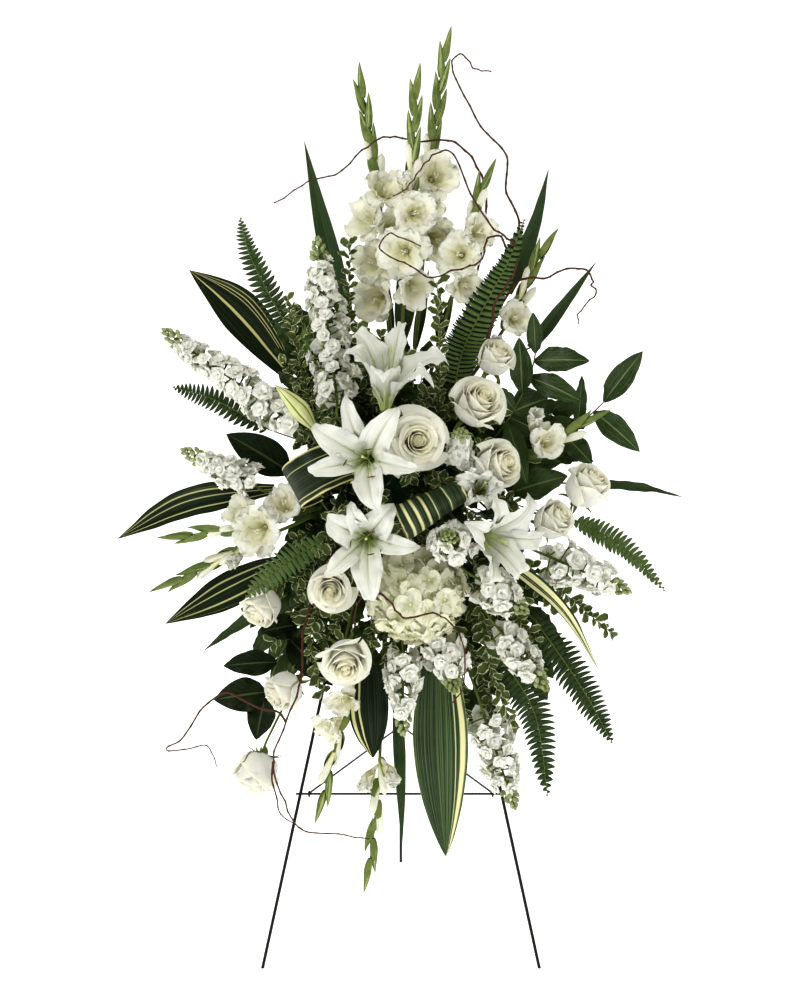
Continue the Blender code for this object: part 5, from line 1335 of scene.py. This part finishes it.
def point_back(path, back):
    """The point at a distance back from a path's end, and the way the path runs there."""
    steps = np.linalg.norm(np.diff(path, axis=0), axis=1)
    from_tip = np.concatenate([[0], np.cumsum(steps[::-1])])
    turned_round = path[::-1]
    spot = np.array([np.interp(back, from_tip, turned_round[:, i]) for i in range(3)])
    before = np.array([np.interp(back + 0.01, from_tip, turned_round[:, i]) for i in range(3)])
    return spot, unit(spot - before)


GLADIOLUS_LEAVES = {
    "gladiolus_top_left": [((386, 345), (389, 283), 0.014)],
    "gladiolus_top_middle": [((402, 350), (399, 262), 0.020), ((409, 350), (419, 272), 0.018)],
    "gladiolus_top_tall": [((425, 350), (429, 268), 0.018)],
    "gladiolus_right_of_top": [((443, 350), (455, 285), 0.016), ((436, 345), (440, 290), 0.014)],
}


def make_gladioli():
    draw = random.Random(37)
    for name, (spikes, florets) in GLADIOLI.items():
        paths = [np.array([at(spot) for spot in reversed(spots)]) for spots in spikes]
        lead = leading_stems(name, paths)
        green = [tube(lead, GLADIOLUS_STEM, 10, 0.5, 2)]
        white = []
        for path in paths:
            course = smooth_path([lead[-1], *path], 40)
            own = [f for f in florets if its_path(paths, at(f)) is path]
            highest = min(np.linalg.norm(at(f) - path[-1]) for f in own)
            taper = np.linspace(1, 0.42, 40) * GLADIOLUS_STEM
            green.append(tube(course[:-2], taper[:-2], 10, 0.5, 2))
            spacing = HANGING_BUD_SPACING if name == "gladiolus_pair_low" else BUD_SPACING
            count = max(WHITE_TIPS, round(highest / spacing))
            for k in range(count):
                length = BUD_LENGTH + 0.001 * k
                spot, way = point_back(course, length * 0.92 + spacing * k)
                sideways = np.cross(way, TO_EYE) * (0.08 if k == 0 else SIDEWAYS)
                lean = unit(way + sideways * (-1) ** k + TO_EYE * draw.uniform(-0.08, 0.15))
                start = spot + (lean - way) * 0.004
                white_tip = k >= count - WHITE_TIPS
                width = BUD_WIDTH + 0.0004 * k + (0.001 if white_tip else 0)
                green += glad_bud(start, lean, length, width, white_tip, draw)
            for f in own:
                white += glad_floret(f, course, draw)
        for spot, tip, width in GLADIOLUS_LEAVES.get(name, []):
            depth = paths[0][-1]
            low = nearest_on(course, at((*spot, seen(depth).depth)))
            high = at((*tip, seen(depth).depth + 0.01))
            shares = np.linspace(0, 1, 16)
            spine = bezier(low, low + (high - low) * 0.4, high - (high - low) * 0.3, high, shares)
            halves = width / 2 * outline(shares, 0.5, 0.35, 1.4, 1.0)
            green.append(blade(
                spine, halves, face=TO_EYE, cup=0.3, fold=0.3, chance=draw.random(), paint=3,
            ))
        build(name + "_petals", white, [GLAD_PETAL], [name])
        paints = [SPATHE, GLAD_PETAL, STEM_GREEN, FLAX_LEAF]
        build(name + "_stem", green, paints, [name])


# Stock
STOCK_STEM = 0.0026
STOCK_FLORET = 0.0165
STOCK_BUDS = 18
STOCK_MISSING = 0.07
STOCK_SPACING = 0.0042
STOCK_BUD_SHARE = 0.28
STOCK_BUD_STRETCH = 0.036


def stock_floret(draw):
    """A ruffled double floret of radius 1 that looks along Z."""
    parts = []
    for count, reach, rise, broad, rows in ((5, 1.0, 0.05, 0.62, 5), (4, 0.56, 0.42, 0.48, 4)):
        for k in range(count):
            angle = 2 * math.pi * (k + draw.uniform(-0.25, 0.25)) / count
            side = turned(angle) @ RIGHT
            shares = np.linspace(0, 1, rows)
            length = reach * draw.uniform(0.85, 1.12)
            tip = side * length + UP * (rise + draw.uniform(-0.20, 0.20))
            pull = side * (0.35 * length) + UP * (0.5 * rise + 0.30)
            spine = bezier(UP * -0.5, pull * 0.5, pull, tip, shares)
            halves = broad * outline(shares, 0.3, 0.75, 2.6, 0.4)
            cup = draw.uniform(-0.1, 0.5)
            ruffled = {"wave": 0.06, "waves": 0.9, "frill": 0.05, "thickness": 0.035}
            across = np.cross(side, UP)
            parts.append(own_blade(
                draw, (-0.25, 0.25), spine, halves, across=across, columns=5, cup=cup, **ruffled,
            ))
    return joined(parts)


def small_bud():
    """A small closed bud of length 1 along Z."""
    shares = np.linspace(0, 1, 6)
    return tube(np.outer(shares, UP), 0.36 * np.sin(math.pi * (0.12 + 0.82 * shares)) ** 0.7, 7, 0.5, 0)


def stock_spike(tip, base, width, florets, bud, draw):
    """The florets, and the stem, calyxes and buds, of one head."""
    foot, top = at(base), at(tip)
    axis = top - foot
    length = np.linalg.norm(axis)
    axis = axis / length
    frame_of = frame_along(axis)
    bud_share = min(STOCK_BUD_SHARE, STOCK_BUD_STRETCH / length)
    white = []
    green = [tube([foot, foot + axis * length * 0.55, top], [0.0026, 0.002, 0.0008], 8, 0.5, 1)]
    count = max(16, round(length * (1 - bud_share) / STOCK_SPACING))
    for k in range(count):
        share = (k + 0.5) / count * (1 - bud_share)
        angle = k * GOLDEN_ANGLE + draw.uniform(-0.3, 0.3)
        side = frame_of @ turned(angle) @ RIGHT
        fade = max(0, share - 0.35) / 0.65
        if draw.random() < STOCK_MISSING:
            continue
        out = width / 2 * (1 - 0.50 * fade) * draw.uniform(0.76, 1.14)
        spot = foot + axis * (length * share)
        size = STOCK_FLORET * draw.uniform(0.75, 1.2) * (1 - 0.25 * fade)
        look = unit(side + axis * draw.uniform(0.1, 0.7))
        centre = spot + side * (out - size * draw.uniform(0.35, 0.65))
        turn = frame_along(look) @ turned(draw.uniform(0, 6))
        white.append(moved(draw.choice(florets), centre, turn, size))
        calyx = [spot - axis * 0.006, centre - look * size * 0.75, centre - look * size * 0.35]
        green.append(tube(calyx, [0.0010, 0.0016, 0.0026], 6, draw.random(), 1))
    for k in range(STOCK_BUDS):
        share = 1 - bud_share * (1 - (k + 0.5) / STOCK_BUDS)
        angle = k * GOLDEN_ANGLE
        side = frame_of @ turned(angle) @ RIGHT
        spot = foot + axis * (length * share)
        room = 0.0105 * (1 - (k / STOCK_BUDS) ** 2) + 0.001
        end = spot + side * room
        look = unit(side * (1 - k / STOCK_BUDS) + axis * 1.1)
        size = 0.0125 - 0.0045 * k / STOCK_BUDS
        green.append(moved(bud, end - look * size * 0.4, frame_along(look), size, draw.random()))
        green.append(tube([spot - axis * 0.004, end], [0.0008, 0.0007], 5, 0.5, 1))
    return white, green


def make_stocks():
    draw = random.Random(53)
    florets = [stock_floret(draw) for _ in range(6)]
    bud = small_bud()
    for name, spikes in STOCKS.items():
        white = []
        green = []
        bases = []
        looks = []
        for tip, base, width in spikes:
            petals, others = stock_spike(tip, base, width, florets, bud, draw)
            white += petals
            green += others
            bases.append(at(base))
            looks.append(unit(at(tip) - at(base)))
        green += painted(branches(name, bases, STOCK_STEM, looks), 1)
        build(name + "_petals", white, [STOCK_PETAL], [name])
        build(name + "_stem", green, [STOCK_BUD, STEM_GREEN], [name])


# Hydrangea
HYDRANGEA_STEM = 0.0038
HYDRANGEA_DOME = 0.85
HYDRANGEA_FLORETS = 62
HYDRANGEA_FLORET = (0.020, 0.026)


def hydrangea_floret(draw):
    """Four broad petals of reach 1 round a bead, looking along Z."""
    bead = np.outer((-0.7, -0.1, 0.02, 0.08), UP)
    parts = [tube(bead, [0.04, 0.04, 0.09, 0.05], 8)]
    for k in range(4):
        side = turned((k + draw.uniform(-0.08, 0.08)) * math.pi / 2) @ RIGHT
        shares = eased(7)
        tip = side * draw.uniform(0.88, 1.1) + UP * draw.uniform(-0.15, 0.40)
        pull = side * 0.6 + UP * draw.uniform(0.0, 0.25)
        spine = bezier(UP * -0.05, side * 0.3, pull, tip, shares)
        halves = 0.60 * outline(shares, 0.22, 0.55, 2.0, 0.5)
        cup = draw.uniform(-0.2, 0.7)
        wavy = {"groove": 0.05, "wave": 0.10, "waves": 1.6, "frill": 0.10, "thickness": 0.025}
        across = np.cross(side, UP)
        parts.append(own_blade(draw, (-0.05, 0.35), spine, halves, across=across, cup=cup, **wavy))
    return joined(parts)


def make_hydrangea():
    draw = random.Random(71)
    florets = [hydrangea_floret(draw) for _ in range(6)]
    axis = facing(HYDRANGEA.azimuth, HYDRANGEA.elevation)
    centre = at(HYDRANGEA)
    turn = frame_along(axis)
    half = HYDRANGEA.size / 2
    white = []
    green = []
    for k in range(HYDRANGEA_FLORETS):
        height = 1 - 1.45 * (k + 0.5) / HYDRANGEA_FLORETS
        across = turned(k * GOLDEN_ANGLE) @ RIGHT * math.sqrt(1 - height**2)
        look = turn @ (across + UP * height)
        dome = turn @ (across + UP * (height * HYDRANGEA_DOME))
        tilt = unit(look + turn @ np.array([draw.uniform(-0.4, 0.4), draw.uniform(-0.4, 0.4), 0.1]))
        spot = centre + dome * (half * draw.uniform(0.84, 1.0))
        spin = frame_along(tilt) @ turned(draw.uniform(0, 6))
        white.append(moved(draw.choice(florets), spot, spin, draw.uniform(*HYDRANGEA_FLORET)))
        inner = centre - axis * (half * 0.5)
        green.append(tube([inner, spot - tilt * 0.012, spot - tilt * 0.002], 0.0009, 5, 0.5))
    green += branches("hydrangea", [centre - axis * (half * 0.5)], HYDRANGEA_STEM, [axis])
    build("hydrangea_petals", white, [HYDRANGEA_PETAL], ["hydrangea"])
    build("hydrangea_stem", green, [PALE_GREEN], ["hydrangea"])


# Ferns. A habit is how far its leaflets fill their room, lie level, tilt back and bow, how early the
# frond draws in, the leaflet's outline, and how far back a second, shaded row of leaflets lies
FERN_RIB = 0.0014
Habit = namedtuple("Habit", "fill level slope cup taper shape backing")
FERN_HABITS = {
    None: Habit(0.50, 0.0, 0.3, -0.2, 3.0, (0.95, 0.22, 1.9, 0.70), 0.0),
    "fern_upper_right": Habit(0.36, 0.6, -0.5, -0.5, 1.7, (0.85, 0.35, 4.0, 0.5), 0.0045),
    "fern_right": Habit(0.50, 0.0, 0.2, -0.2, 1.9, (0.95, 0.30, 2.6, 0.65), 0.0),
}
LIGHT_FERNS = ("fern_upper_right", "fern_right", "fern_left_low")


def fern_frond(frond, habit, draw):
    """A frond's rib and its leaflets, and where it starts."""
    spine = smooth_path([at(spot) for spot in reversed(frond.spots)], 2 * frond.pairs + 1)
    face = facing(frond.azimuth, frond.elevation)
    ahead = unit(np.gradient(spine, axis=0))
    side = unit(np.cross(ahead, face))
    lift = np.cross(side, ahead)
    parts = [tube(spine, np.linspace(1.15, 0.45, len(spine)) * FERN_RIB, 6, 0.9, 1)]
    rows = range(2 if habit.backing else 1)
    for behind, k in ((behind, k) for behind in rows for k in range(1, 2 * frond.pairs)):
        share = k / (2 * frond.pairs)
        foot = spine[k] + ((spine[k + 1] - spine[k]) - lift[k] * habit.backing) * behind
        room = np.linalg.norm(spine[k + 1] - spine[k - 1])
        reach = frond.half_width * min(1, 0.45 + 2.2 * share) * (1 - share**habit.taper) ** 0.8
        reach = max(reach, 0.003) * draw.uniform(0.93, 1.05)
        way = 1 if k % 2 else -1
        flat = RIGHT * (habit.level * way * np.sign(side[k][0]))
        out = unit(side[k] * way + ahead[k] * 0.08 + flat)
        tip = foot + out * reach + ahead[k] * (0.16 * reach) + lift[k] * (0.10 * reach)
        pull = foot + out * (0.6 * reach) - lift[k] * (draw.uniform(-0.05, 0.12) * reach)
        shares = eased(7)
        leaflet = bezier(foot, foot + out * (0.2 * reach), pull, tip, shares)
        width = min(room * habit.fill, reach * 0.5) * draw.uniform(0.9, 1.1)
        halves = width * outline(shares, *habit.shape)
        face = unit(lift[k] - ahead[k] * habit.slope)
        # The back row (behind = 1) takes paint 2, the shaded fern paint: painted shade that darkens the
        # gaps between the front leaflets
        look = {"cup": habit.cup, "wave": 0.0006, "columns": 5, "paint": 2 * behind}
        parts.append(own_blade(draw, way * 0.25, leaflet, halves, face=face, **look))
    return parts, spine[0]


def make_ferns():
    draw = random.Random(83)
    for name, fronds in FERNS.items():
        parts = []
        bases = []
        for frond in fronds:
            made, base = fern_frond(frond, FERN_HABITS.get(name, FERN_HABITS[None]), draw)
            parts += made
            bases.append(base)
        parts += painted(branches(name, bases, FERN_RIB), 1)
        paint = LIGHT_FERN_LEAF if name in LIGHT_FERNS else FERN_LEAF
        build(name + "_fronds", parts, [paint, STEM_GREEN, SHADED_FERN_LEAF], [name])


# Strap leaves
LEAF_STALK = 0.0018
STRAP_COLUMNS = 15
STRAP_ROWS = 40
STRAP_THICKNESS = 0.0009


def strap(leaf, draw, shape):
    """A strap leaf, and where it starts."""
    shares = np.linspace(0, 1, STRAP_ROWS)
    spine = smooth_path([at(spot) for spot in reversed(leaf.spots)], STRAP_ROWS)
    halves = leaf.width / 2 * outline(shares, *shape)
    folds = {"cup": leaf.cup * 0.5, "fold": leaf.cup * 0.9, "wave": 0.0016, "waves": 2.2}
    folds |= {"columns": STRAP_COLUMNS, "thickness": STRAP_THICKNESS}
    face = facing(leaf.azimuth, leaf.elevation)
    return own_blade(draw, (-0.25, 0.25), spine, halves, face=face, **folds), spine[0]


# Outlines of strap leaves, and their paints, by node
STRIPED_SHAPES = {
    None: (0.32, 0.48, 1.5, 1.0),
    "striped_leaf_pair_low": (0.70, 0.40, 1.8, 0.9),
    "striped_leaf_right": (0.75, 0.30, 1.2, 1.0),
}
FLAX_SHAPES = {None: (0.72, 0.28, 1.15, 1.0)}
STRIPED_PAINTS = {
    None: [STREAKED_LEAF],
    "striped_leaf_top_left": [STRIPED_LEAF],
    "striped_leaf_pair_low": [GREEN_STRIPED_LEAF, DARK_STRIPED_LEAF],
    "striped_leaf_right": [CREAM_STRIPED_LEAF],
}
FLAX_PAINTS = {None: [FLAX_LEAF]}


def make_strap_leaves(table, shapes, paints, draw):
    """Strap leaves. A node's paints are one for all its leaves, or one for each."""
    for name, leaves in table.items():
        parts = []
        bases = []
        for leaf in leaves:
            made, base = strap(leaf, draw, shapes.get(name, shapes[None]))
            parts.append(made)
            bases.append(base)
        own = paints.get(name, paints[None])
        if len(own) > 1:
            parts = [painted([part], k)[0] for k, part in enumerate(parts)]
        parts += painted(branches(name, bases, LEAF_STALK), len(own))
        build(name + "_blades", parts, [*own, STEM_GREEN], [name])


def make_rolled_leaves():
    for name, (low, high, radius, turn_from, turn_to, taper) in ROLLED_LEAVES.items():
        start, end = at(low), at(high)
        half_length = np.linalg.norm(end - start) / 2
        axis = unit(end - start)
        middle = (start + end) / 2
        back = FOAM_MIDDLE - middle
        back = unit(back - axis * (back @ axis))
        rolled = np.stack([np.cross(axis, back), -back, axis], axis=1)
        u = np.linspace(0, 1, 44)[:, None]
        w = np.linspace(-1, 1, 17)[None, :]
        angle = np.radians(turn_from + (turn_to - turn_from) * u)
        out = (1 + 0.12 * u + 0.02 * np.sin(3 * w + 5 * u)) * (1 - taper * w)
        half = 0.72 + 0.28 * np.sin(math.pi * (0.15 + 0.7 * u))
        high = half_length * half * w + 0 * u
        local = np.stack([radius * out * np.cos(angle), radius * out * np.sin(angle), high], axis=2)
        points = local @ rolled.T + middle
        foot = points[-1, 8]
        stalk = painted(branches(name, [foot], LEAF_STALK), 1)
        parts = [sheet(points, STRAP_THICKNESS, 0.37), *stalk]
        paint = ROLLED_LEAF if taper else LOOP_LEAF
        build(name + "_blade", parts, [paint, STEM_GREEN], [name])


# Broad leaves
SALAL_STEM = 0.0017


def broad_leaf(base, tip, width, look, draw):
    """A pointed oval leaf that arches from its stem."""
    length = np.linalg.norm(tip - base)
    shares = np.linspace(0, 1, 15)
    arch = look * (0.10 * length)
    spine = bezier(base, base + (tip - base) * 0.3 + arch, tip - (tip - base) * 0.3 + arch, tip, shares)
    halves = width / 2 * (0.95 * outline(shares, 0.06, 0.40, 1.8, 1.0) + 0.05 * (1 - shares))
    return own_blade(
        draw, (-0.35, 0.35), spine, halves, face=look, columns=9, cup=0.10, fold=0.12, wave=0.0034,
        waves=draw.uniform(2.2, 3.6), thickness=0.0007,
    )


def make_salal():
    draw = random.Random(97)
    for name, (stems, leaves) in SALAL.items():
        paths = [np.array([at(spot) for spot in spots]) for spots in stems]
        lead = leading_stems(name, paths)
        parts = [tube(lead, SALAL_STEM, 8, 0.5, 1)]
        courses = []
        for path in paths:
            course = smooth_path([lead[-1], *path], 18)
            courses.append(course)
            parts.append(tube(course, np.linspace(1, 0.6, 18) * SALAL_STEM, 8, 0.5, 1))
        for spot, tip, width in leaves:
            base = nearest_on(its_path(courses, at(spot)), at(spot))
            parts.append(broad_leaf(base, at(tip), width, LEAF_LOOK, draw))
        # The low left salal takes the darker copy of the salal paint: painted shade
        paint = SALAL_LEAF if name == "salal_right" else SHADED_SALAL_LEAF
        build(name + "_leaves", parts, [paint, STEM_GREEN], [name])


# Curly willow
TWIG = 0.0020
KINK = 0.0021
KINK_SPACING = 0.017


def willow_twig(points, thick, draw):
    """A twig through points that kinks a little at each node."""
    length = np.linalg.norm(np.diff(smooth_path(points, 60), axis=0), axis=1).sum()
    kinked = max(8, round(length / KINK_SPACING))
    count = 4 * kinked + 1
    course = smooth_path(points, count)
    shares = np.linspace(0, 1, count)
    knots = np.linspace(0, 1, kinked + 1)
    for i in range(3):
        kinks = [draw.uniform(-1, 1) for _ in knots]
        course[:, i] += KINK * np.interp(shares, knots, kinks) * np.clip(shares * 4 - 0.8, 0, 1)
    nodes = np.cos(2 * math.pi * kinked * shares) * 0.5 + 0.5
    return tube(course, thick * (1.15 - 0.65 * shares) * (1 + 0.28 * nodes**3), 8, draw.random())


def make_willow():
    draw = random.Random(101)
    for name, twigs in WILLOW.items():
        paths = [np.array([at(spot) for spot in reversed(spots)]) for spots in twigs]
        lead = leading_stems(name, paths)
        parts = [willow_twig([*lead, *path], TWIG, draw) for path in paths]
        build(name + "_twigs", parts, [BARK], [name])
    parts = []
    for spots, thick in MORE_WILLOW:
        path = np.array([at(spot) for spot in spots])
        parts.append(willow_twig([*leading_stems("", [path]), *path], thick, draw))
    for spots, thick in WILLOW_SIDE_TWIGS:
        parts.append(willow_twig([at(spot) for spot in spots], thick, draw))
    build("willow_more", parts, [BARK])


# Pittosporum and the greens between the blooms
PITTOSPORUM_STEM = 0.0014
PITTOSPORUM_SPACING = 0.0055
FILLER_SPACING = 0.0070
SPRIG_ROWS = 16
SPRIG_LEAF = 0.022
SPRIG_BARE = 0.35


def small_leaf(draw):
    """A small wavy leaf of length 1 along X whose upper side looks along Z."""
    shares = np.linspace(0, 1, 6)
    spine = np.stack([shares, 0 * shares, 0.10 * np.sin(math.pi * shares)], axis=1)
    halves = draw.uniform(0.25, 0.36) * outline(shares, 0.10, 0.55, 2.2, 0.7)
    return blade(
        spine, halves, face=UP, columns=5, cup=draw.uniform(-0.1, 0.3), fold=0.18, wave=0.11, waves=1.6,
        phase=draw.uniform(0, 6), twist=draw.uniform(-0.4, 0.4), thickness=0.03, chance=draw.random(),
    )


def leafy_sprig(path, leaves, spacing, draw):
    """A sprig: a thin stem with small leaves all round its outer part."""
    course = smooth_path(path, SPRIG_ROWS)
    parts = [tube(course, np.linspace(1, 0.5, SPRIG_ROWS) * PITTOSPORUM_STEM, 6, 0.5, 1)]
    leafy = np.linalg.norm(np.diff(course, axis=0), axis=1).sum() * (1 - SPRIG_BARE)
    number = max(3, round(leafy / spacing))
    for k in range(number):
        spot, way = point_back(course, leafy * k / number)
        side = frame_along(way) @ turned(k * GOLDEN_ANGLE + draw.uniform(-0.4, 0.4)) @ RIGHT
        out = unit(side + way * draw.uniform(0.3, 1.0))
        up = unit(LEAF_LOOK + way * 0.5 + side * draw.uniform(-0.5, 0.5))
        across = unit(np.cross(up, out))
        turn = np.stack([out, across, np.cross(out, across)], axis=1)
        scale = SPRIG_LEAF * draw.uniform(0.6, 1.25)
        parts.append(moved(draw.choice(leaves), spot, turn, scale, draw.random()))
    return parts


def make_pittosporum():
    draw = random.Random(113)
    leaves = [small_leaf(draw) for _ in range(6)]
    for name, sprigs in PITTOSPORUM.items():
        paths = [[at(spot) for spot in spots] for spots in sprigs]
        lead = leading_stems(name, paths)
        parts = []
        for path in paths:
            parts += leafy_sprig([*lead, *path], leaves, PITTOSPORUM_SPACING, draw)
        build(name + "_sprigs", parts, [SMALL_LEAF, STEM_GREEN], [name])
    return leaves


def blooms_in_front():
    """Every bloom as (spot, radius in pixels), so that greens can keep behind them."""
    found = []
    pixel = EYE_DISTANCE / FOCAL_PIXELS
    for blooms in ROSES.values():
        found += [(bloom, bloom.size / 2 / pixel) for bloom in blooms]
    for blooms, _ in LILIES.values():
        found += [(bloom, bloom.size * 0.36 / pixel) for bloom, _ in blooms]
    found.append((HYDRANGEA, HYDRANGEA.size / 2 / pixel))
    for spikes in STOCKS.values():
        for tip, base, width in spikes:
            for share in (0.1, 0.35, 0.6, 0.85):
                spot = [a + (b - a) * share for a, b in zip(base, tip)]
                found.append((Spot(*spot), width / 2 / pixel))
    for _, florets in GLADIOLI.values():
        found += [(floret, floret.size / 2 / pixel) for floret in florets]
    return found


def clear_of_blooms(point, blooms, room=0.02):
    spot = seen(point)
    for bloom, radius in blooms:
        away = math.hypot(spot.column - bloom.column, spot.row - bloom.row)
        if away < radius * 0.95 and spot.depth < bloom.depth + room:
            return False
    return True


# Where the greens between the blooms are: the middle and reach of an oval, and how many sprigs and
# dark leaves it holds
FILLS = [
    (Spot(408, 515, -0.11), (128, 185), 50, 130), (Spot(308, 372, -0.02), (36, 76), 9, 34),
    (Spot(545, 432, 0.0), (50, 42), 0, 20), (Spot(292, 622, -0.02), (50, 62), 6, 30),
    (Spot(522, 640, -0.03), (46, 66), 6, 26), (Spot(318, 505, -0.01), (36, 60), 2, 24),
    (Spot(484, 712, -0.02), (20, 34), 2, 6), (Spot(474, 444, -0.06), (12, 14), 1, 6),
    (Spot(357, 356, -0.04), (12, 28), 3, 6),
]


def fill_spots(middle, reach, count, draw):
    """Spots spread evenly over an oval, nearest to the eye at its middle."""
    spots = []
    for k in range(count):
        share = math.sqrt((k + 0.5) / count)
        angle = k * GOLDEN_ANGLE
        column = middle.column + reach[0] * share * math.cos(angle)
        row = middle.row + reach[1] * share * math.sin(angle)
        deeper = 0.12 * share**2 * reach[0] / 128 + draw.uniform(-0.015, 0.015)
        spots.append(Spot(column, row, middle.depth + deeper))
    return spots


def make_filler(leaves):
    """Sprigs of small leaves and dark leaves that stand in the foam between the blooms."""
    draw = random.Random(127)
    blooms = blooms_in_front()
    variegated = []
    sprig_spots = [s for middle, reach, count, _ in FILLS for s in fill_spots(middle, reach, count, draw)]
    for spot in sprig_spots:
        target = at(spot)
        mouth, way = foam_mouth("", target)
        path = [mouth - way * 0.02, mouth, mouth + (target - mouth) * 0.55 + way * 0.01, target]
        sprig = leafy_sprig(path, leaves, FILLER_SPACING, draw)
        variegated += [sprig[0]]
        variegated += [leaf for leaf in sprig[1:] if clear_of_blooms(leaf.points.mean(0), blooms)]
    build("filler_variegated", variegated, [SMALL_LEAF, STEM_GREEN])
    dark = []
    leaf_spots = [s for middle, reach, _, count in FILLS for s in fill_spots(middle, reach, count, draw)]
    for spot in leaf_spots:
        target = at(spot._replace(depth=spot.depth + 0.05))
        mouth, way = foam_mouth("", target)
        tip = target + unit(target - FOAM_MIDDLE) * 0.01
        reach = np.linalg.norm(tip - mouth)
        length = min(draw.uniform(0.05, 0.085), reach * 0.8)
        base = tip - unit(tip - mouth) * length
        look = unit(LEAF_LOOK + np.array([draw.uniform(-0.6, 0.6), 0, draw.uniform(-0.5, 0.5)]))
        leaf = broad_leaf(base, tip, length * draw.uniform(0.42, 0.6), look, draw)
        dark.append(tube([mouth - way * 0.02, mouth, base], 0.0011, 6, 0.5, 1))
        if clear_of_blooms(leaf.points.mean(0), blooms, 0.03):
            dark.append(leaf)
    build("filler_dark", dark, [DARK_LEAF, STEM_GREEN])


# The easel, the holder and the stage


FRAME_PAINTS = {"easel": WIRE, "holder": TRAY, "foam": FOAM, "tie": TIE}


def finish_frame_nodes():
    """Paints for the easel and the holder, which keep their solids' shapes."""
    for name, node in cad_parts.items():
        paint = FRAME_PAINTS.get(name.split("_")[0])
        for material_slot in node.material_slots if paint else ():
            material_slot.material = paint


def make_camera():
    data = bpy.data.cameras.new("camera")
    data.sensor_fit = "AUTO"
    data.sensor_width = SENSOR
    data.lens = SENSOR * FOCAL_PIXELS / FRAME_HEIGHT
    camera = bpy.data.objects.new("camera", data)
    aside = (MIDDLE_COLUMN - AXIS_COLUMN) / FOCAL_PIXELS * EYE_DISTANCE
    camera.location = EYE + np.array([aside, 0, 0])
    camera.rotation_euler = (math.pi / 2 - EYE_PITCH, 0, 0)
    bpy.context.scene.collection.objects.link(camera)
    bpy.context.scene.camera = camera


# The studio: its floor, the world in front of the spray and behind it, and the round lamps, as power
# in watts, place, aim and width
FLOOR_HALF = 30.0
FLOOR_GLOW = 0.75
WORLD_STOPS = ((0.35, (0.42, 0.42, 0.36)), (0.75, (1.02, 1.02, 1.02)))
LAMPS = {
    "key": (52, (-1.8, -2.8, 3.3), (0, 0, 0.9), 1.3),
    "fill": (9, (2.6, -2.8, 1.7), (0, 0, 0.8), 1.6),
    "back": (15, (0.5, 3.0, 2.6), (0, 0, 0.8), 1.6),
}


def make_lamp(name, power, place, aim, width):
    data = bpy.data.lights.new(name, "AREA")
    data.energy = power
    data.shape = "DISK"
    data.size = width
    lamp = bpy.data.objects.new(name, data)
    lamp.location = place
    turn = frame_along(np.subtract(place, aim))
    lamp.rotation_euler = Matrix(turn.tolist()).to_euler()
    bpy.context.scene.collection.objects.link(lamp)


def make_floor():
    """A wide floor of white paper."""
    half = FLOOR_HALF
    corners = [(-half, -half, 0), (half, -half, 0), (half, half, 0), (-half, half, 0)]
    mesh = bpy.data.meshes.new("floor")
    mesh.from_pydata(corners, [], [(0, 1, 2, 3)])
    floor = bpy.data.objects.new("floor", mesh)
    n = Nodes("floor_paper")
    grain = n.noise(n.place(), 3.0)
    white = n.mix(grain, (0.90, 0.90, 0.90), (0.92, 0.92, 0.92))
    glow = {"Emission Strength": FLOOR_GLOW, "Emission Color": (1, 1, 1)}
    mesh.materials.append(n.done(white, 0.9, glow))
    bpy.context.scene.collection.objects.link(floor)


def make_world():
    """A studio that is bright behind the spray and softer in front of it."""
    world = bpy.data.worlds.new("studio")
    bpy.context.scene.world = world
    world.use_nodes = True
    tree = world.node_tree
    place = tree.nodes.new("ShaderNodeTexCoord")
    parts = tree.nodes.new("ShaderNodeSeparateXYZ")
    ramp = tree.nodes.new("ShaderNodeValToRGB")
    for point, (share, colour) in zip(ramp.color_ramp.elements, WORLD_STOPS):
        point.position = share
        point.color = (*colour, 1)
    tree.links.new(place.outputs["Generated"], parts.inputs[0])
    tree.links.new(parts.outputs[1], ramp.inputs[0])
    tree.links.new(ramp.outputs[0], tree.nodes["Background"].inputs[0])
    bpy.context.scene.view_settings.view_transform = "Standard"
    bpy.context.scene.view_settings.look = "Medium High Contrast"


make_camera()
make_floor()
make_world()
for lamp_name, settings in LAMPS.items():
    make_lamp(lamp_name, *settings)
finish_frame_nodes()
make_roses()
make_lilies()
make_gladioli()
make_stocks()
make_hydrangea()
make_ferns()
make_strap_leaves(STRIPED_LEAVES, STRIPED_SHAPES, STRIPED_PAINTS, random.Random(131))
make_strap_leaves(FLAX_BLADES, FLAX_SHAPES, FLAX_PAINTS, random.Random(137))
make_rolled_leaves()
make_salal()
make_willow()
small_leaves = make_pittosporum()
make_filler(small_leaves)
